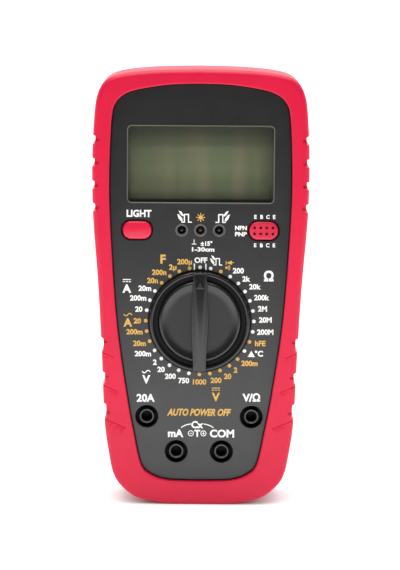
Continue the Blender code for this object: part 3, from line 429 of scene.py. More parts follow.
# A lighter copy of the case plastic: painted highlight on the rims and chamfers of holes.
RIM_HIGHLIGHT = Finish("hole_rim_highlight", "dark_case", (0.11, 0.11, 0.11), 0.3, grain=0.000006)
KNOB = CellularFinish(
    "knob_plastic", "knob_plastic", (0.008, 0.008, 0.0084), 0.24, grain=0.0000015, grain_size=0.0004)
BLACK = Finish("black_plastic", "black_plastic", (0.005, 0.005, 0.0053), 0.45, specular=0.15, grain=0.000006)
LENS = Finish(
    "clear_window", "clear_plastic", (0.12, 0.13, 0.10), 0.05, spread=0.03, grain=0.000001, alpha=0.06)
# The display glass carries painted reflections as stretched brownish streaks, and painted shade at its edges.
LCD = DisplayFinish(
    "display_glass", "display_glass", (0.118, 0.143, 0.074), 0.3, mottle_size=0.009, grain=0.000001,
    specular=0.3, stretch=(1.0, 1.0, 0.10))
WHITE = Finish("white_plastic", "white_plastic", (0.72, 0.72, 0.69))
GREY_RUBBER = LayeredFinish(
    "contact_rubber", "grey_rubber", (0.13, 0.13, 0.13), 0.7, second=(0.03, 0.03, 0.03))
BOARD = LayeredFinish(
    "board_lacquer", "board_green", (0.012, 0.12, 0.04), 0.35, second=(0.03, 0.20, 0.07), band=0.005)
STEEL = Finish("zinc_steel", "steel", (0.55, 0.55, 0.56), 0.3, metallic=1.0, stretch=(1.0, 8.0, 1.0))
NICKEL = Finish("nickel_plate", "nickel", (0.66, 0.65, 0.62), 0.28, metallic=1.0, grain=0.000004)
# Nickel darkened far below its own colour: painted shade in the sockets' bores.
SHADED_SLEEVE_PLATE = Finish("shaded_nickel", "nickel", (0.075, 0.075, 0.074), 0.38, metallic=1.0, grain=0.000004)
BRASS = Finish("spring_brass", "brass", (0.62, 0.43, 0.15), 0.32, metallic=1.0)
COPPER = Finish("bare_copper", "copper", (0.58, 0.28, 0.13), 0.38, metallic=1.0)
GLASS = Finish("fuse_glass", "clear_glass", (0.8, 0.85, 0.85), 0.04, spread=0.02, grain=0.000001, alpha=0.3)
JACKET = LayeredFinish("battery_foil", "battery_jacket", (0.05, 0.08, 0.2), 0.3, metallic=0.3, band=0.02)
SLEEVE = Finish("capacitor_sleeve", "capacitor_jacket", (0.03, 0.05, 0.16), 0.3)
SMOKED = Finish("smoked_epoxy", "lamp_clear", (0.012, 0.012, 0.014), 0.12, spread=0.04, grain=0.000001)
AMBER_EPOXY = Finish("amber_epoxy", "lamp_amber", (0.045, 0.022, 0.006), 0.14, spread=0.04, grain=0.000001)
LEAD_RED = Finish("lead_red", "red_rubber", (0.5, 0.02, 0.02), 0.45)
INKS = {
    Ink.WHITE: Finish("white_ink", "white_plastic", (0.90, 0.90, 0.87), mottle=0.05, mottle_size=0.004),
    Ink.AMBER: Finish("amber_ink", "lamp_amber", (0.68, 0.40, 0.08), mottle=0.06, mottle_size=0.004),
}


# Outlines


def smooth_through(points: Sequence[Pair], steps: int = 12) -> Loop:
    """Lay a smooth curve through points.

    Args:
        points: The points, ends included.
        steps: Samples between two points.

    Returns:
        The curve's samples.
    """
    ends = [Vector(p) for p in (points[0], *points, points[-1])]
    found = []
    for a, b, c, d in zip(ends, ends[1:], ends[2:], ends[3:]):
        for step in range(steps):
            t = step / steps
            bend = (2 * a - 5 * b + 4 * c - d) * t**2
            twist = (3 * b - a - 3 * c + d) * t**3
            found.append(0.5 * (2 * b + (c - a) * t + bend + twist))
    found.append(ends[-1])
    return found


def rounded_rectangle(width: float, height: float, corner: float, steps: int = 8) -> Loop:
    """Outline a rectangle with round corners about the origin.

    Args:
        width: Along x.
        height: Along y.
        corner: Corner radius.
        steps: Samples on a corner.

    Returns:
        The outline, anticlockwise.
    """
    loop = []
    for turn in range(4):
        cx = (width / 2 - corner) * (1 if turn in (0, 3) else -1)
        cy = (height / 2 - corner) * (1 if turn in (0, 1) else -1)
        for step in range(steps + 1):
            angle = math.radians(90 * (turn + step / steps))
            loop.append(Vector((cx + corner * math.cos(angle), cy + corner * math.sin(angle))))
    return loop


def tongue(width: float, top: float, foot: float, corner: float, steps: int) -> Loop:
    """Outline a plate that is square at the top and has round corners at the foot.

    Args:
        width: Along x.
        top: Height of the top edge.
        foot: Height of the foot.
        corner: Corner radius.
        steps: Samples on a corner.

    Returns:
        The outline, anticlockwise.
    """
    half = width / 2
    loop = [Vector((half, top)), Vector((-half, top))]
    for side, first in ((-1, 180), (1, 270)):
        middle = Vector((side * (half - corner), foot + corner))
        for step in range(steps + 1):
            angle = math.radians(first + 90 * step / steps)
            loop.append(middle + corner * Vector((math.cos(angle), math.sin(angle))))
    return loop


def circle(radius: float, steps: int = 48) -> Loop:
    """Outline a circle about the origin."""
    angles = [2 * math.pi * i / steps for i in range(steps)]
    return [Vector((radius * math.cos(a), radius * math.sin(a))) for a in angles]


def round_over(radius: float, steps: int) -> list[Pair]:
    """Round an edge, from its side to its top.

    Args:
        radius: Radius of the edge.
        steps: Samples on the edge, less one.

    Returns:
        How far each sample lies in from the side, and how far below the top.
    """
    turns = [math.radians(90 * i / steps) for i in range(steps + 1)]
    return [(radius * (1 - math.cos(turn)), radius * (1 - math.sin(turn))) for turn in turns]


def flat_ring(first: float, second: float, low: float, high: float) -> list[Pair]:
    """Give the section of a flat ring between two edges and two levels."""
    return [(first, low), (first, high), (second, high), (second, low)]


def at_level(loop: Loop, level: float, centre: Pair = MIDDLE) -> Loop:
    """Lift a flat loop to a level and move it to a centre."""
    return [Vector((p.x + centre[0], p.y + centre[1], level)) for p in loop]


class Outline:
    """A closed outline, given by its right half from the foot to the top."""

    def __init__(self, right_half: Loop) -> None:
        """Measure the half.

        Args:
            right_half: Dense samples from the middle of the foot to the middle of the top.
        """
        self.points = right_half
        self.lengths = [0.0]
        for a, b in zip(right_half, right_half[1:]):
            self.lengths.append(self.lengths[-1] + (b - a).length)

    def at(self, share: float) -> Vector:
        """Find the point at a share of the half's length.

        Args:
            share: From 0 at the foot to 1 at the top.

        Returns:
            The point.
        """
        goal = share * self.lengths[-1]
        for i in range(1, len(self.lengths)):
            if self.lengths[i] >= goal - TINY:
                part = (goal - self.lengths[i - 1]) / max(self.lengths[i] - self.lengths[i - 1], TINY)
                return self.points[i - 1].lerp(self.points[i], part)
        return self.points[-1].copy()

    def share_at_height(self, rise: float) -> float:
        """Find where the half reaches a height.

        Args:
            rise: The height.

        Returns:
            The share of the half's length.
        """
        for i in range(1, len(self.points)):
            if self.points[i].y >= rise:
                low, high = self.points[i - 1], self.points[i]
                part = (rise - low.y) / max(high.y - low.y, TINY)
                length = self.lengths[i - 1] + part * (self.lengths[i] - self.lengths[i - 1])
                return length / self.lengths[-1]
        return 1.0

    def at_height(self, rise: float) -> Vector:
        """Find the point at a height."""
        return self.at(self.share_at_height(rise))

    def loop(self, shares: Sequence[float], inset: float | Callable[[Vector], float]) -> Loop:
        """Sample the whole outline, moved inwards.

        Args:
            shares: Shares of the right half, from 0 to 1.
            inset: The inward move, everywhere or at a point.

        Returns:
            The loop, anticlockwise from the middle of the foot.
        """
        right = [self.at(s) for s in shares]
        whole = right + [Vector((-p.x, p.y)) for p in reversed(right[1:-1])]
        count = len(whole)
        moved = []
        for i, point in enumerate(whole):
            along = (whole[(i + 1) % count] - whole[i - 1]).normalized()
            move = inset(point) if callable(inset) else inset
            moved.append(point + Vector((-along.y, along.x)) * move)
        return moved


# Meshes


def coat(obj: Piece, finish: Finish) -> None:
    """Give an object's mesh one finish."""
    obj.data.materials.clear()
    obj.data.materials.append(finish.material())


def enrol(
    obj: Piece, finish: Finish, body: Body, replaces: Sequence[str] = (), angle: float = SHARP_ANGLE
) -> None:
    """Finish a piece, let it ride on a body and report it.

    Args:
        obj: The piece.
        finish: What it is made of.
        body: What it moves with.
        replaces: CAD nodes that it stands for.
        angle: Edges sharper than this stay sharp.
    """
    coat(obj, finish)
    obj.data.shade_smooth()
    obj.data.set_sharp_from_angle(angle=math.radians(angle))
    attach(obj, body.value)
    if replaces:
        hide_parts(*replaces)
    LOG.info("%s on %s: %d faces", obj.name, body.value, len(obj.data.polygons))


def cut(obj: Piece, tools: Sequence[Piece]) -> None:
    """Cut tools out of an object's mesh, and remove the tools.

    Args:
        obj: The object to cut.
        tools: Closed objects.
    """
    for tool in tools:
        modifier = obj.modifiers.new(tool.name, "BOOLEAN")
        modifier.object = tool
        modifier.operation = "DIFFERENCE"
    bpy.context.view_layer.update()
    evaluated = obj.evaluated_get(bpy.context.evaluated_depsgraph_get())
    data = bpy.data.meshes.new_from_object(evaluated)
    obj.modifiers.clear()
    obj.data = data
    for tool in tools:
        bpy.data.objects.remove(tool, do_unlink=True)


def linked(name: str, data: bpy.types.ID) -> Piece:
    """Make an object and link it to the scene.

    Args:
        name: The object's name.
        data: Its mesh, text, camera or light.

    Returns:
        The object.
    """
    obj = bpy.data.objects.new(name, data)
    bpy.context.scene.collection.objects.link(obj)
    return obj


class Shape:
    """A mesh under construction, in the meter's frame and in millimetres."""

    def __init__(self) -> None:
        """Start with nothing."""
        self.mesh = bmesh.new()

    def loft(self, loops: Sequence[Loop], ring: bool = False) -> "Shape":
        """Skin a row of loops that have the same number of points.

        Args:
            loops: The loops in order.
            ring: Join the last loop back to the first, instead of closing both with a face.

        Returns:
            This shape.
        """
        rows = [[self.mesh.verts.new(p) for p in loop] for loop in loops]
        pairs = list(zip(rows, rows[1:]))
        if ring:
            pairs.append((rows[-1], rows[0]))
        count = len(rows[0])
        for low, high in pairs:
            for i in range(count):
                j = (i + 1) % count
                self.mesh.faces.new((low[i], low[j], high[j], high[i]))
        if not ring:
            self.mesh.faces.new(list(reversed(rows[0])))
            self.mesh.faces.new(rows[-1])
        return self

    def turned(self, profile: Sequence[Pair], centre: Pair, steps: int, ring: bool = False) -> "Shape":
        """Turn a profile about an axis that stands on the face.

        Args:
            profile: Radius and level above the face, point by point.
            centre: Where the axis meets the face.
            steps: Samples round the turn.
            ring: The profile is closed and clear of the axis.

        Returns:
            This shape.
        """
        loops = [at_level(circle(max(r, AXIS_RADIUS), steps), FACE + z, centre) for r, z in profile]
        return self.loft(loops, ring)

    def prism(self, loop: Loop, low: float, high: float, centre: Pair = MIDDLE) -> "Shape":
        """Raise a flat loop into a plate between two levels."""
        return self.loft([at_level(loop, low, centre), at_level(loop, high, centre)])

    def piece(
        self, name: str, finish: Finish, body: Body, replaces: Sequence[str] = (), angle: float = SHARP_ANGLE
    ) -> None:
        """Turn the shape into a piece that rides on a body.

        Args:
            name: The piece's name.
            finish: What it is made of.
            body: What it moves with.
            replaces: CAD nodes that it stands for.
            angle: Edges sharper than this stay sharp.
        """
        enrol(self.object(name), finish, body, replaces, angle)

    def object(self, name: str) -> Piece:
        """Turn the shape into a plain object in world metres.

        Args:
            name: The object's name.

        Returns:
            The object, linked to the scene.
        """
        bmesh.ops.remove_doubles(self.mesh, verts=self.mesh.verts, dist=WELD)
        self.mesh.transform(TO_WORLD)
        bmesh.ops.recalc_face_normals(self.mesh, faces=self.mesh.faces)
        data = bpy.data.meshes.new(name)
        self.mesh.to_mesh(data)
        self.mesh.free()
        return linked(name, data)


# Sub-assemblies


@dataclass
class Holster:
    """The rubber boot: a lofted skin with grip notches, and a bed for the stand behind.

    A foot gives insets from the side and heights above the foot, a head gives insets and
    drops below the top. A lower notch gives its upper and its lower end.
    """

    width: float = 90.4
    height: float = 183.0
    depth: float = 38.0
    wall: float = 3.0
    back: float = 4.9
    lip: float = 3.0
    crease: float = 38.0
    rounding: float = 2.2
    rounding_steps: int = 12
    edge: float = 0.5
    edge_steps: int = 6
    flat: float = 12.0
    samples: int = 110
    nearest: float = 0.0004
    front_shares: Sequence[float] = (0.15, 0.35, 0.65, 0.85)
    side_levels: Sequence[float] = (29.0, 24.0, 19.0, 14.0, 9.0)
    foot: Sequence[Pair] = (
        (20.0, 2.3), (13.2, 6.9), (9.4, 12.3), (7.4, 21.0), (5.4, 36.0), (4.2, 64.0), (2.7, 92.0),
    )
    head: Sequence[Pair] = (
        (0.5, 62.0), (0.03, 40.0), (0.8, 21.0), (2.1, 11.0), (5.4, 5.0), (12.0, 2.1), (26.0, 0.5),
    )
    opening_width: float = 76.0
    opening_rise: float = 9.7
    opening_drop: float = 5.9
    opening_foot: Sequence[Pair] = (
        (24.4, 10.2), (17.0, 13.0), (13.4, 17.6), (10.4, 31.4), (7.5, 47.2), (3.2, 78.2),
    )
    opening_head: Sequence[Pair] = (
        (0.5, 66.0), (0.0, 43.0), (1.0, 20.0), (2.9, 13.6), (6.8, 10.2), (12.6, 8.3), (25.0, 6.4),
    )
    grip: Pair = (27.0, 162.0)
    notch_depth: float = 1.1
    upper_notches: Sequence[float] = (153.6, 144.2, 134.8, 125.4)
    upper_height: float = 3.8
    upper_ramp: float = 0.5
    upper_samples: Sequence[float] = (-0.6, -0.4, -0.25, -0.1, 0.1, 0.4)
    floor_samples: Sequence[float] = (-0.7, -0.35, 0.0, 0.35, 0.7)
    lower_notches: Sequence[Pair] = ((70.8, 64.2), (56.3, 50.2), (42.9, 35.8))
    lower_ramps: Pair = (0.6, 2.6)
    lower_top_samples: Sequence[float] = (0.3, 0.0, -0.2, -0.4, -0.6, -0.9)
    lower_foot_samples: Sequence[float] = (-0.2, 0.2, 0.7, 1.3, 1.9, 2.5, 3.0)
    dimple_radius: float = 0.75
    dimple_inset: float = 2.0
    dimple_depth: float = 0.7
    dimple_reach: float = 2.5
    lower_dimples: Sequence[float] = (69.3, 54.5, 39.3)
    line_lengths: Sequence[float] = (4.5, 6.5, 9.0)
    line_start: Pair = (0.6, 0.3)
    line_slope: float = 21.0
    line_width: float = 0.8
    line_depth: float = 0.3
    line_taper: float = 0.5
    line_clear: float = 0.02
    line_reach: float = 1.5
    line_steps: int = 10
    bead: float = 0.22
    bead_edges: Sequence[float] = (-0.3, -1.1, -1.6, -2.8)
    bead_root: float = 0.1
    # A black ring along the opening's edge: painted shade under the lip, over the real gap.
    lip_shade_edges: Pair = (-0.6, 0.5)
    lip_shade_levels: Pair = (FACE - 0.2, FACE + 0.05)
    lip_shade_samples: int = 120
    stand_width: float = 52.8
    stand_length: float = 92.4
    stand_corner: float = 6.4
    hinge_rise: float = 127.0
    bed_depth: float = 3.1
    slot_height: float = 4.6
    slot_corner: float = 0.4
    slot_depth: float = 4.3
    nail_radius: float = 8.0
    nail_rise: float = 0.4
    tool_reach: float = 2.0

    def stations(self, half: float, foot: Sequence[Pair], head: Sequence[Pair]) -> list[Pair]:
        """Turn insets from the side into the points of a right half.

        Args:
            half: Half the outline's width.
            foot: Inset from the side and height above the foot, from below.
            head: Inset from the side and drop below the holster's top, from below.

        Returns:
            The points.
        """
        return [(half - x, y) for x, y in foot] + [(half - x, self.height - y) for x, y in head]

    def outer(self) -> Outline:
        """Build the outer outline."""
        side = self.stations(self.width / 2, self.foot, self.head)
        return Outline([Vector(MIDDLE), *smooth_through([(self.flat, 0.0), *side, (0.0, self.height)])])

    def opening(self) -> Outline:
        """Build the outline of the front opening.

        Returns:
            The outline.
        """
        side = self.stations(self.opening_width / 2, self.opening_foot, self.opening_head)
        top = self.height - self.opening_drop
        return Outline(smooth_through([(0.0, self.opening_rise), *side, (0.0, top)]))

    def notch(self, rise: float) -> float:
        """Weigh the grip notches at a height on the side.

        Args:
            rise: Height above the foot.

        Returns:
            0 on a land, 1 on a notch's floor.
        """
        weight = 0.0
        for middle in self.upper_notches:
            inside = (self.upper_height / 2 - abs(rise - middle)) / self.upper_ramp
            weight = max(weight, min(1.0, max(0.0, inside)))
        for top, bottom in self.lower_notches:
            if bottom < rise < top:
                upper, lower = (top - rise) / self.lower_ramps[0], (rise - bottom) / self.lower_ramps[1]
                weight = max(weight, min(1.0, upper, lower))
        return weight * weight * (3 - 2 * weight)

    def shares(self, outline: Outline) -> list[float]:
        """Choose where to sample: evenly, and closely at the notches' edges.

        Args:
            outline: The outer outline.

        Returns:
            Shares of the right half in order.
        """
        digits = 6
        wanted = {round(i / self.samples, digits) for i in range(self.samples + 1)}
        heights = []
        for middle in self.upper_notches:
            for side in (-1, 1):
                heights += [middle + side * (self.upper_height / 2 + d) for d in self.upper_samples]
            heights += [middle + d for d in self.floor_samples]
        for top, bottom in self.lower_notches:
            heights += [top + d for d in self.lower_top_samples]
            heights += [bottom + d for d in self.lower_foot_samples]
        wanted |= {round(outline.share_at_height(h), digits) for h in heights}
        found = []
        for share in sorted(wanted):
            if not found or share - found[-1] > self.nearest:
                found.append(share)
        found[-1] = 1.0
        return found

    def skin(self) -> Piece:
        """Loft the skin from the cavity's floor, over the lip and round to the back.

        Returns:
            The holster without its bed and engraved lines.
        """
        outer, opening = self.outer(), self.opening()
        shares = self.shares(outer)
        front = self.depth
        cavity = outer.loop(shares, self.wall)
        loops = [
            at_level(cavity, self.back), at_level(cavity, front - self.lip),
            at_level(opening.loop(shares, 0.0), front - self.lip),
        ]
        for inset, drop in round_over(self.edge, self.edge_steps):
            loops.append(at_level(opening.loop(shares, -inset), front - drop))
        inner_edge = loops[-1]
        outer_edge = at_level(outer.loop(shares, self.rounding), front)
        for part in self.front_shares:
            loops.append([a.lerp(b, part) for a, b in zip(inner_edge, outer_edge)])
        fillet = round_over(self.rounding, self.rounding_steps)
        sides = [(inset, front - drop) for inset, drop in reversed(fillet)]
        sides += [(0.0, level) for level in self.side_levels]
        sides += fillet
        loops += [self.side_loop(outer, shares, inset, level) for inset, level in sides]
        return Shape().loft(loops).object("holster_boot")

    def side_loop(self, outer: Outline, shares: Sequence[float], inset: float, level: float) -> Loop:
        """Sample one loop of the outer skin, pressed in at the notches.

        Args:
            outer: The outer outline.
            shares: Where to sample it.
            inset: The rounding's inset at this level.
            level: Level above the back.

        Returns:
            The loop.
        """
        def press(point: Vector) -> float:
            """Give the inset of one point."""
            notched = self.grip[0] < point.y < self.grip[1]
            return inset + (self.notch(point.y) * max(0.0, self.notch_depth - inset) if notched else 0.0)

        return at_level(outer.loop(shares, press), level)

    def tools(self) -> list[Piece]:
        """Make what is cut out of the back: the stand's bed, its hinge slot and a nail notch.

        Returns:
            Closed objects.
        """
        foot = self.hinge_rise - self.stand_length
        bed = tongue(self.stand_width, self.hinge_rise, foot, self.stand_corner, 8)
        slot = at_level(rounded_rectangle(self.stand_width, self.slot_height, self.slot_corner, 2), 0.0,
                        (0.0, self.hinge_rise))
        nail = at_level(circle(self.nail_radius, 40), 0.0, (0.0, foot + self.nail_rise))
        cuts = (("bed_tool", bed, self.bed_depth), ("slot_tool", slot, self.slot_depth),
                ("nail_tool", nail, self.bed_depth))
        return [Shape().prism(loop, -self.tool_reach, depth).object(name) for name, loop, depth in cuts]

    def build(self) -> None:
        """Build the holster in place of its CAD node."""
        boot = self.skin()
        cut(boot, self.tools())
        self.engrave(boot)
        enrol(boot, RUBBER, Body.METER, ["holster"], self.crease)
        self.lip_shade()

    def lip_shade(self) -> None:
        """Lay a dark ring in the gap between the face and the opening's edge: partly the real gap, partly
        painted shade under the lip.
        """
        opening = self.opening()
        shares = [i / self.lip_shade_samples for i in range(self.lip_shade_samples + 1)]
        section = flat_ring(*self.lip_shade_edges, *self.lip_shade_levels)
        loops = [at_level(opening.loop(shares, inset), level) for inset, level in section]
        Shape().loft(loops, ring=True).piece("face_lip_shade", BLACK, Body.METER)

    def front_level(self, inset: float) -> float:
        """Find the level of the front rounding.

        Args:
            inset: How far in from the side.

        Returns:
            The level above the back.
        """
        if inset >= self.rounding:
            return self.depth
        return self.depth - self.rounding + math.sqrt(self.rounding**2 - (self.rounding - inset) ** 2)

    def engrave(self, boot: Piece) -> None:
        """Press the slanted lines and the notches' dimples into the front.

        Args:
            boot: The holster.
        """
        outer = self.outer()
        tools = []
        level = self.front_level(self.dimple_inset)
        low, high = level - self.dimple_depth, level + self.dimple_reach
        pit = circle(self.dimple_radius, 16)
        for rise in (*self.upper_notches, *self.lower_dimples):
            edge = outer.at_height(rise).x - self.dimple_inset
            for side in (-1, 1):
                dimple = Shape().prism(pit, low, high, (side * edge, rise))
                tools.append(dimple.object("dimple_tool"))
        beads = Shape()
        for (_, bottom), length in zip(self.lower_notches, self.line_lengths):
            edge = outer.at_height(bottom).x
            for side in (-1, 1):
                step, bead = self.line_loops(side, edge, bottom, length)
                tools.append(Shape().loft(step).object("line_tool"))
                beads.loft(bead)
        cut(boot, tools)
        beads.piece("holster_beads", RUBBER, Body.METER)

    def line_loops(self, side: int, edge: float, rise: float, length: float) -> tuple[list[Loop], list[Loop]]:
        """Shape one slanted line, which runs in from a notch's lower end.

        Args:
            side: -1 on the left, 1 on the right.
            edge: Half the holster's width there.
            rise: Height of the notch's lower end.
            length: Length of the line.

        Returns:
            The loops of the step to cut, steep above and running out below, and of
            the bead under it. Both follow the rounding of the front.
        """
        slope = math.radians(self.line_slope)
        way = Vector((-side * math.cos(slope), -math.sin(slope)))
        across = Vector((way.y, -way.x)) * side * self.line_width / 2
        first_inset, lift_off = self.line_start
        step, bead = [], []
        for i in range(self.line_steps + 1):
            part = i / self.line_steps
            taper = 1.0 - self.line_taper * part
            inset = first_inset + part * length * math.cos(slope)
            middle = Vector((side * edge, rise + lift_off)) + way * (inset / math.cos(slope))
            level = self.front_level(inset)
            step_lifts = (-self.line_depth * taper, self.line_clear, self.line_reach, self.line_reach)
            bead_lifts = (-self.bead_root, self.bead * taper, self.bead * taper, -self.bead_root)
            for loops, edges, lifts in (
                (step, (1.0, -1.0, -1.0, 1.0), step_lifts), (bead, self.bead_edges, bead_lifts),
            ):
                places = [(middle + across * taper * wide, level + lift) for wide, lift in zip(edges, lifts)]
                loops.append([Vector((*place, height)) for place, height in places])
        return step, bead


@dataclass
class Stand:
    """The folding prop on the holster's back."""

    width: float = 52.0
    length: float = 92.0
    back: float = 0.2
    thickness: float = 2.6
    corner: float = 6.0
    soft: float = 0.5
    soft_share: float = 0.3
    hinge_rise: float = 127.0
    hinge_level: float = 2.1
    barrel: float = 1.9
    barrel_gap: float = 0.05
    ribs: int = 5
    rib_pitch: float = 3.6
    rib_rise: float = 9.0
    rib_narrowing: float = 1.5
    rib_foot: Triple = (24.0, 1.3, 0.6)
    rib_crest: Triple = (23.4, 0.8, 0.38)
    rib_levels: Triple = (0.4, 0.15, 0.02)

    def plate_loop(self, inset: float) -> Loop:
        """Outline the plate, moved inwards by an inset."""
        foot = self.hinge_rise - self.length + inset
        return tongue(self.width - 2 * inset, self.hinge_rise, foot, self.corner - inset, 10)

    def build(self) -> None:
        """Build the prop, its barrel and its grip ribs in place of the CAD node."""
        low, high, soft = self.back, self.back + self.thickness, self.soft
        slight = soft * self.soft_share
        levels = [(soft, low), (slight, low + slight), (0.0, low + soft), (0.0, high - soft),
                  (slight, high - slight), (soft, high)]
        plate = Shape().loft([at_level(self.plate_loop(inset), level) for inset, level in levels])
        plate.piece("stand_plate", STAND_RUBBER, Body.STAND, ["tilt_stand"])
        reach = self.width / 2 - self.barrel_gap
        round_bar = circle(self.barrel, 28)
        rows = [[Vector((x, self.hinge_rise + p.x, self.hinge_level + p.y)) for p in round_bar]
                for x in (-reach, reach)]
        Shape().loft(rows).piece("stand_barrel", STAND_RUBBER, Body.STAND)
        grip = Shape()
        for i in range(self.ribs):
            at = (0.0, self.hinge_rise - self.length + self.rib_rise + i * self.rib_pitch)
            foot, crest = (
                rounded_rectangle(width - self.rib_narrowing * i, height, corner, 4)
                for width, height, corner in (self.rib_foot, self.rib_crest)
            )
            rows = zip((foot, foot, crest), self.rib_levels)
            grip.loft([at_level(loop, level, at) for loop, level in rows])
        grip.piece("stand_grip_ribs", STAND_RUBBER, Body.STAND)


@dataclass
class Display:
    """The window and its raised trim over the liquid-crystal glass.

    A section gives the inset from the window's edge and the level above the face.
    """

    rise: float = 143.4
    width: float = 61.5
    height: float = 33.4
    corner: float = 2.0
    trim_drop: float = 0.8
    trim: Sequence[Pair] = ((0.42, -0.9), (0.42, 0.12), (0.32, 0.2), (0.1, 0.2), (0.02, 0.1), (0.02, -0.9))
    border: Sequence[Pair] = ((0.0, -0.9), (0.0, 0.04), (-0.7, 0.03), (-0.7, -0.9))
    lens: Sequence[Pair] = ((0.75, -2.5), (0.3, -2.2), (0.3, -0.9), (0.6, -0.5))
    lens_corner: float = 0.8

    def loops(self, section: Sequence[Pair], height: float, follow: float = 1.0) -> list[Loop]:
        """Outline the window at each point of a section.

        Args:
            section: Inset and level, point by point.
            height: Height of the outline without an inset.
            follow: How much the corner's radius follows the inset.

        Returns:
            The loops.
        """
        return [
            at_level(
                rounded_rectangle(self.width - 2 * inset, height - 2 * inset, self.corner - inset * follow),
                FACE + lift, (0.0, self.rise))
            for inset, lift in section
        ]

    def build(self) -> None:
        """Build the trim, its border and the window."""
        # The window's frame is in the lighter case plastic, a painted highlight.
        for name, finish, section in (("window_trim_highlight", TRIM_HIGHLIGHT, self.trim), ("window_border", CASE, self.border)):
            loops = self.loops(section, self.height - self.trim_drop)
            Shape().loft(loops, ring=True).piece(name, finish, Body.METER)
        lens = Shape().loft(self.loops(self.lens, self.height, self.lens_corner))
        lens.piece("window_lens", LENS, Body.METER, ["display_window"])


@dataclass
class ControlRow:
    """The light key, the transistor socket and the three lamps between them.

    A cap gives its top above the face, its edge's radius and how far its middle rises.
    """

    rise: float = 115.9
    offset: float = 26.4
    width: float = 12.0
    height: float = 7.5
    corner: float = 3.5
    least_corner: float = 0.2
    root: float = 3.5
    dome_shares: Triple = (0.35, 0.7, 1.0)
    dome_margin: float = 0.6
    key_cap: Triple = (1.4, 1.0, 0.15)
    socket_cap: Triple = (0.55, 0.7, 0.0)
    flange: float = 1.1
    flange_levels: Pair = (FACE_UNDER - 1.2, FACE_UNDER - 0.35)
    pitch: float = 2.54
    hole_radius: float = 0.55
    hole_reach: float = 3.0
    # Black rings round the key and the socket: partly the real gap, partly painted shade.
    surround: Sequence[Pair] = (
        (0.3, -0.6), (0.3, 0.0), (0.42, 0.12), (0.65, 0.12), (0.78, 0.0), (0.78, -0.6),
    )
    lamp_pitch: float = 7.8
    lamp_rim: Sequence[Pair] = (
        (2.62, -0.8), (2.62, 0.03), (2.45, 0.08), (2.3, 0.03), (1.78, -0.6), (1.78, -0.8),
    )

    def oval(self, inset: float, steps: int = 10) -> Loop:
        """Outline the oval of key and socket, moved inwards by an inset."""
        corner = max(self.least_corner, self.corner - inset)
        return rounded_rectangle(self.width - 2 * inset, self.height - 2 * inset, corner, steps)

    def cap(self, sizes: Triple, x: float) -> list[Loop]:
        """Outline a soft-edged oval cap from below the face to its top.

        Args:
            sizes: The cap's top, edge and dome.
            x: Its place in the row.

        Returns:
            Loops from the bottom up.
        """
        top, soft, dome = sizes
        steps = [(0.0, -self.root)]
        steps += [(inset, top - drop) for inset, drop in round_over(soft, 6)]
        inner = self.height / 2 - soft - self.dome_margin
        steps += [(soft + part * inner, top + dome * part) for part in self.dome_shares]
        return [at_level(self.oval(inset), FACE + lift, (x, self.rise)) for inset, lift in steps]

    def build(self) -> None:
        """Build the key, the socket and the lamps' rims."""
        key = Shape().loft(self.cap(self.key_cap, -self.offset))
        key.prism(self.oval(-self.flange, 6), *self.flange_levels, (-self.offset, self.rise))
        key.piece("light_key_cap", KEY_RED, Body.KEY, ["light_key"])
        self.socket()
        # Black rings round the key and the socket: partly the real gap, partly painted shade.
        for side, name in ((-1, "key_gap_shade"), (1, "socket_gap_shade")):
            at = (side * self.offset, self.rise)
            loops = [at_level(self.oval(-grow), FACE + lift, at) for grow, lift in self.surround]
            Shape().loft(loops, ring=True).piece(name, BLACK, Body.METER)
        # The lamps' rims are in the lighter case plastic, a painted highlight.
        rims = Shape()
        for i in (-1, 0, 1):
            rims.turned(self.lamp_rim, (i * self.lamp_pitch, self.rise), 40, ring=True)
        rims.piece("lamp_rims", RIM_HIGHLIGHT, Body.METER)

    def socket(self) -> None:
        """Build the transistor socket with its two rows of holes."""
        block = Shape().loft(self.cap(self.socket_cap, self.offset)).object("socket_block")
        hole = circle(self.hole_radius, 16)
        pins = []
        for row in (-1, 1):
            for i in range(4):
                at = (self.offset + (i - 1.5) * self.pitch, self.rise + row * self.pitch / 2)
                pin = Shape().prism(hole, FACE - self.hole_reach, FACE + self.hole_reach, at)
                pins.append(pin.object("pin_tool"))
        cut(block, pins)
        enrol(block, SOCKET_RED, Body.METER, ["transistor_socket"])


